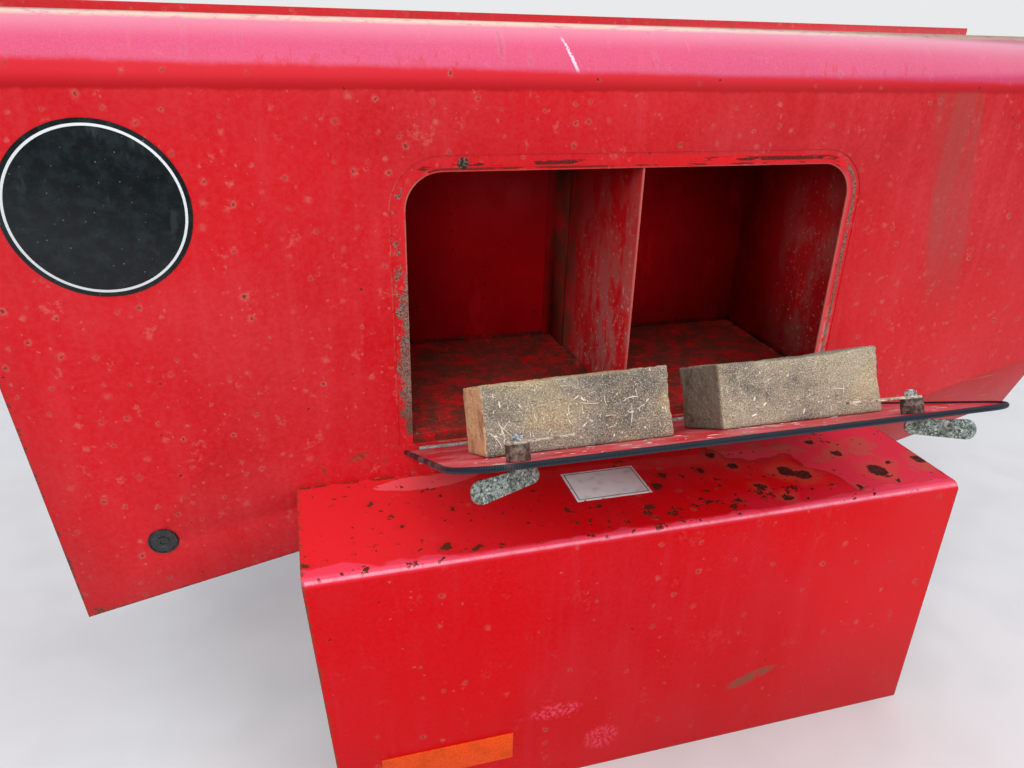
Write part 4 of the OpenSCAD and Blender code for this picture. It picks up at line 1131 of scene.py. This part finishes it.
def boxSkin(size, step):
    # Six grids of points on a box from 0 to size, with their outward quads
    points, faces, count = [], [], 0
    for axis in range(3):
        a, b = (axis + 1) % 3, (axis + 2) % 3
        na, nb = (max(2, int(round(size[k] / step)) + 1) for k in (a, b))
        u, v = np.meshgrid(np.linspace(0, size[a], na), np.linspace(0, size[b], nb), indexing="ij")
        for end in (0, 1):
            grid = np.zeros((na, nb, 3))
            grid[..., a], grid[..., b], grid[..., axis] = u, v, end * size[axis]
            i, j = np.meshgrid(np.arange(na - 1), np.arange(nb - 1), indexing="ij")
            near, far = i * nb + j, (i + 1) * nb + j
            quad = np.stack([near, far, far + 1, near + 1], -1).reshape(-1, 4)
            faces.append((quad if end else quad[:, ::-1]) + count)
            points.append(grid.reshape(-1, 3))
            count += na * nb
    return np.concatenate(points), np.concatenate(faces)


def makeFoam(node, s, seed, lift, material):
    # Box rounded by pulling each point to its corner radius, then crowned, tilted and crumbled
    low, high = doorSpan(node)
    size = high - low
    raw, faces = boxSkin(size, s["step"])
    r = s["corner"]
    core = np.clip(raw, r, size - r)
    out = raw - core
    out /= np.linalg.norm(out, axis=1)[:, None]
    place = core + out * r
    share = place / size
    dome = np.sin(np.clip(share[:, 0], 0, 1) * math.pi) * np.sin(np.clip(share[:, 2], 0, 1) * math.pi)
    free = np.clip(place[:, 1] / 0.02, 0, 1)
    rough = s["skin"] * waves(place, 0.055, seed) + s["crumb"] * 0.5 * waves(place, 0.011, seed + 1)
    place = place - out * (np.clip(0.55 * s["crumb"] + rough * 0.8, 0, 0.004) * free)[:, None]
    top = np.clip(share[:, 1], 0, 1) ** 3
    place[:, 1] += top * (dome * s["crown"] - s["crown"] + lift[0] * (share[:, 0] - 0.5) + lift[1] * (
        (share[:, 0] - 0.5) ** 2 - 0.25))
    pinch = np.sin(np.clip(share[:, 1], 0, 1) * math.pi)
    place[:, 0] += (0.5 - share[:, 0]) * s["pinch"] * pinch
    place[:, 2] += (0.5 - share[:, 2]) * s["pinch"] * pinch
    place = place + low
    cut = np.clip(np.abs(out[:, 0]) * 1.6 - 0.5, 0, 1) + np.clip(out[:, 1] * 1.5 - 0.6, 0, 1) * 0.55
    points = onDoor(place[:, 0], place[:, 1], place[:, 2])
    name = node.replace("foam", "foamBlock").replace("_l", "L").replace("_r", "R")
    piece = meshFrom(name, points, faces, "door", material, {"cut": np.clip(cut, 0, 1)})
    piece.modifiers.new("weld", "WELD").merge_threshold = 0.0002
    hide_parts(node)
    return low, high


foamSpans = [
    makeFoam("foam_left", foam, 11, (0.004, 0.006), foamFinish("foamOchre", "ochre", 0.10)),
    makeFoam("foam_right", foam, 23, (0.005, 0.018), foamFinish("foamOlive", "olive", 0.40)),
]
print("foam blocks made")


# Bits of straw and pale chips that stick to the foam and lie on the door
litter = dict(straws=(38, 12), flakes=(60, 34), chips=(8, 6), onSheet=80, sides=5, steps=7, seed=5,
              thin=0.00034, thick=0.00074)


def slivers(name, starts, across, forward, lengths, radii, curl, material):
    # Each sliver is a thin tapered tube along a shallow arc: forward by t, across by curl times t squared
    t = np.linspace(0, 1, litter["steps"])
    angle = np.linspace(0, 2 * math.pi, litter["sides"], endpoint=False)
    normal = np.cross(forward, across)
    spine = (starts[:, None] + forward[:, None] * (lengths[:, None] * (t - 0.5)[None, :])[..., None]
             + across[:, None] * ((lengths * curl)[:, None] * (t - 0.5)[None, :] ** 2)[..., None])
    taper = radii[:, None] * (0.25 + 0.75 * np.sqrt(np.sin(np.pi * np.clip(t, 0.02, 0.98))))[None, :]
    ring = (across[:, None, None] * np.cos(angle)[None, None, :, None]
            + normal[:, None, None] * np.sin(angle)[None, None, :, None] * 0.6)
    points = spine[:, :, None] + ring * taper[:, :, None, None]
    count, steps, sides = points.shape[:3]
    c, i, j = np.meshgrid(np.arange(count), np.arange(steps - 1), np.arange(sides), indexing="ij")
    base, nextJ = c * steps * sides, (j + 1) % sides
    quads = np.stack([base + i * sides + j, base + i * sides + nextJ, base + (i + 1) * sides + nextJ,
                      base + (i + 1) * sides + j], -1).reshape(-1, 4)
    return meshFrom(name, points.reshape(-1, 3), quads, "door", material)


def makeLitter(s):
    draw = np.random.default_rng(s["seed"])
    straw = strawFinish("strawPale", rgb(232, 228, 212), rgb(184, 168, 138))
    flake = strawFinish("flakePale", rgb(236, 232, 220), rgb(190, 178, 152))
    wide = np.array([1.0, 0, 0])

    def scatter(name, n, place, along, longest, radii, curl, material):
        turn = draw.uniform(0, math.pi, n)
        forward = np.cos(turn)[:, None] * wide + np.sin(turn)[:, None] * along
        across = -np.sin(turn)[:, None] * wide + np.cos(turn)[:, None] * along
        lengths = longest[0] + (longest[1] - longest[0]) * draw.beta(1.0, 2.2, n)
        slivers(name, place, across, forward, lengths, draw.uniform(*radii, n), draw.normal(0, curl, n),
                material)

    for index, (low, high) in enumerate(foamSpans):
        label = ("Left", "Right")[index]
        for kind, n, longest, radii, curl, material in (
                ("straw", s["straws"][index], (0.004, 0.034), (s["thin"], s["thick"]), 0.35, straw),
                ("flake", s["flakes"][index], (0.0012, 0.0034), (0.0004, 0.0010), 0.1, flake),
                ("chip", s["chips"][index], (0.0040, 0.0120), (0.0009, 0.0014), 0.1, flake)):
            x = draw.uniform(low[0] + 0.012, high[0] - 0.012, n)
            out = low[1] + 0.004 + (high[1] - low[1] - 0.014) * draw.beta(1.0, 2.0, n)
            place = onDoor(x, out, np.full(n, high[2] - 0.0011))
            scatter(kind + label, n, place, offDoor, longest, radii, curl, material)
    n = s["onSheet"]
    x = draw.uniform(-0.33, 0.33, n)
    up = foamSpans[0][1][2] + 0.003 + draw.beta(1.0, 1.8, n) * 0.098
    place = onDoor(x, np.full(n, 0.0005), up)
    scatter("strawSheet", n, place, upDoor, (0.003, 0.024), (s["thin"], s["thick"]), 0.4, straw)


makeLitter(litter)
print("litter made")
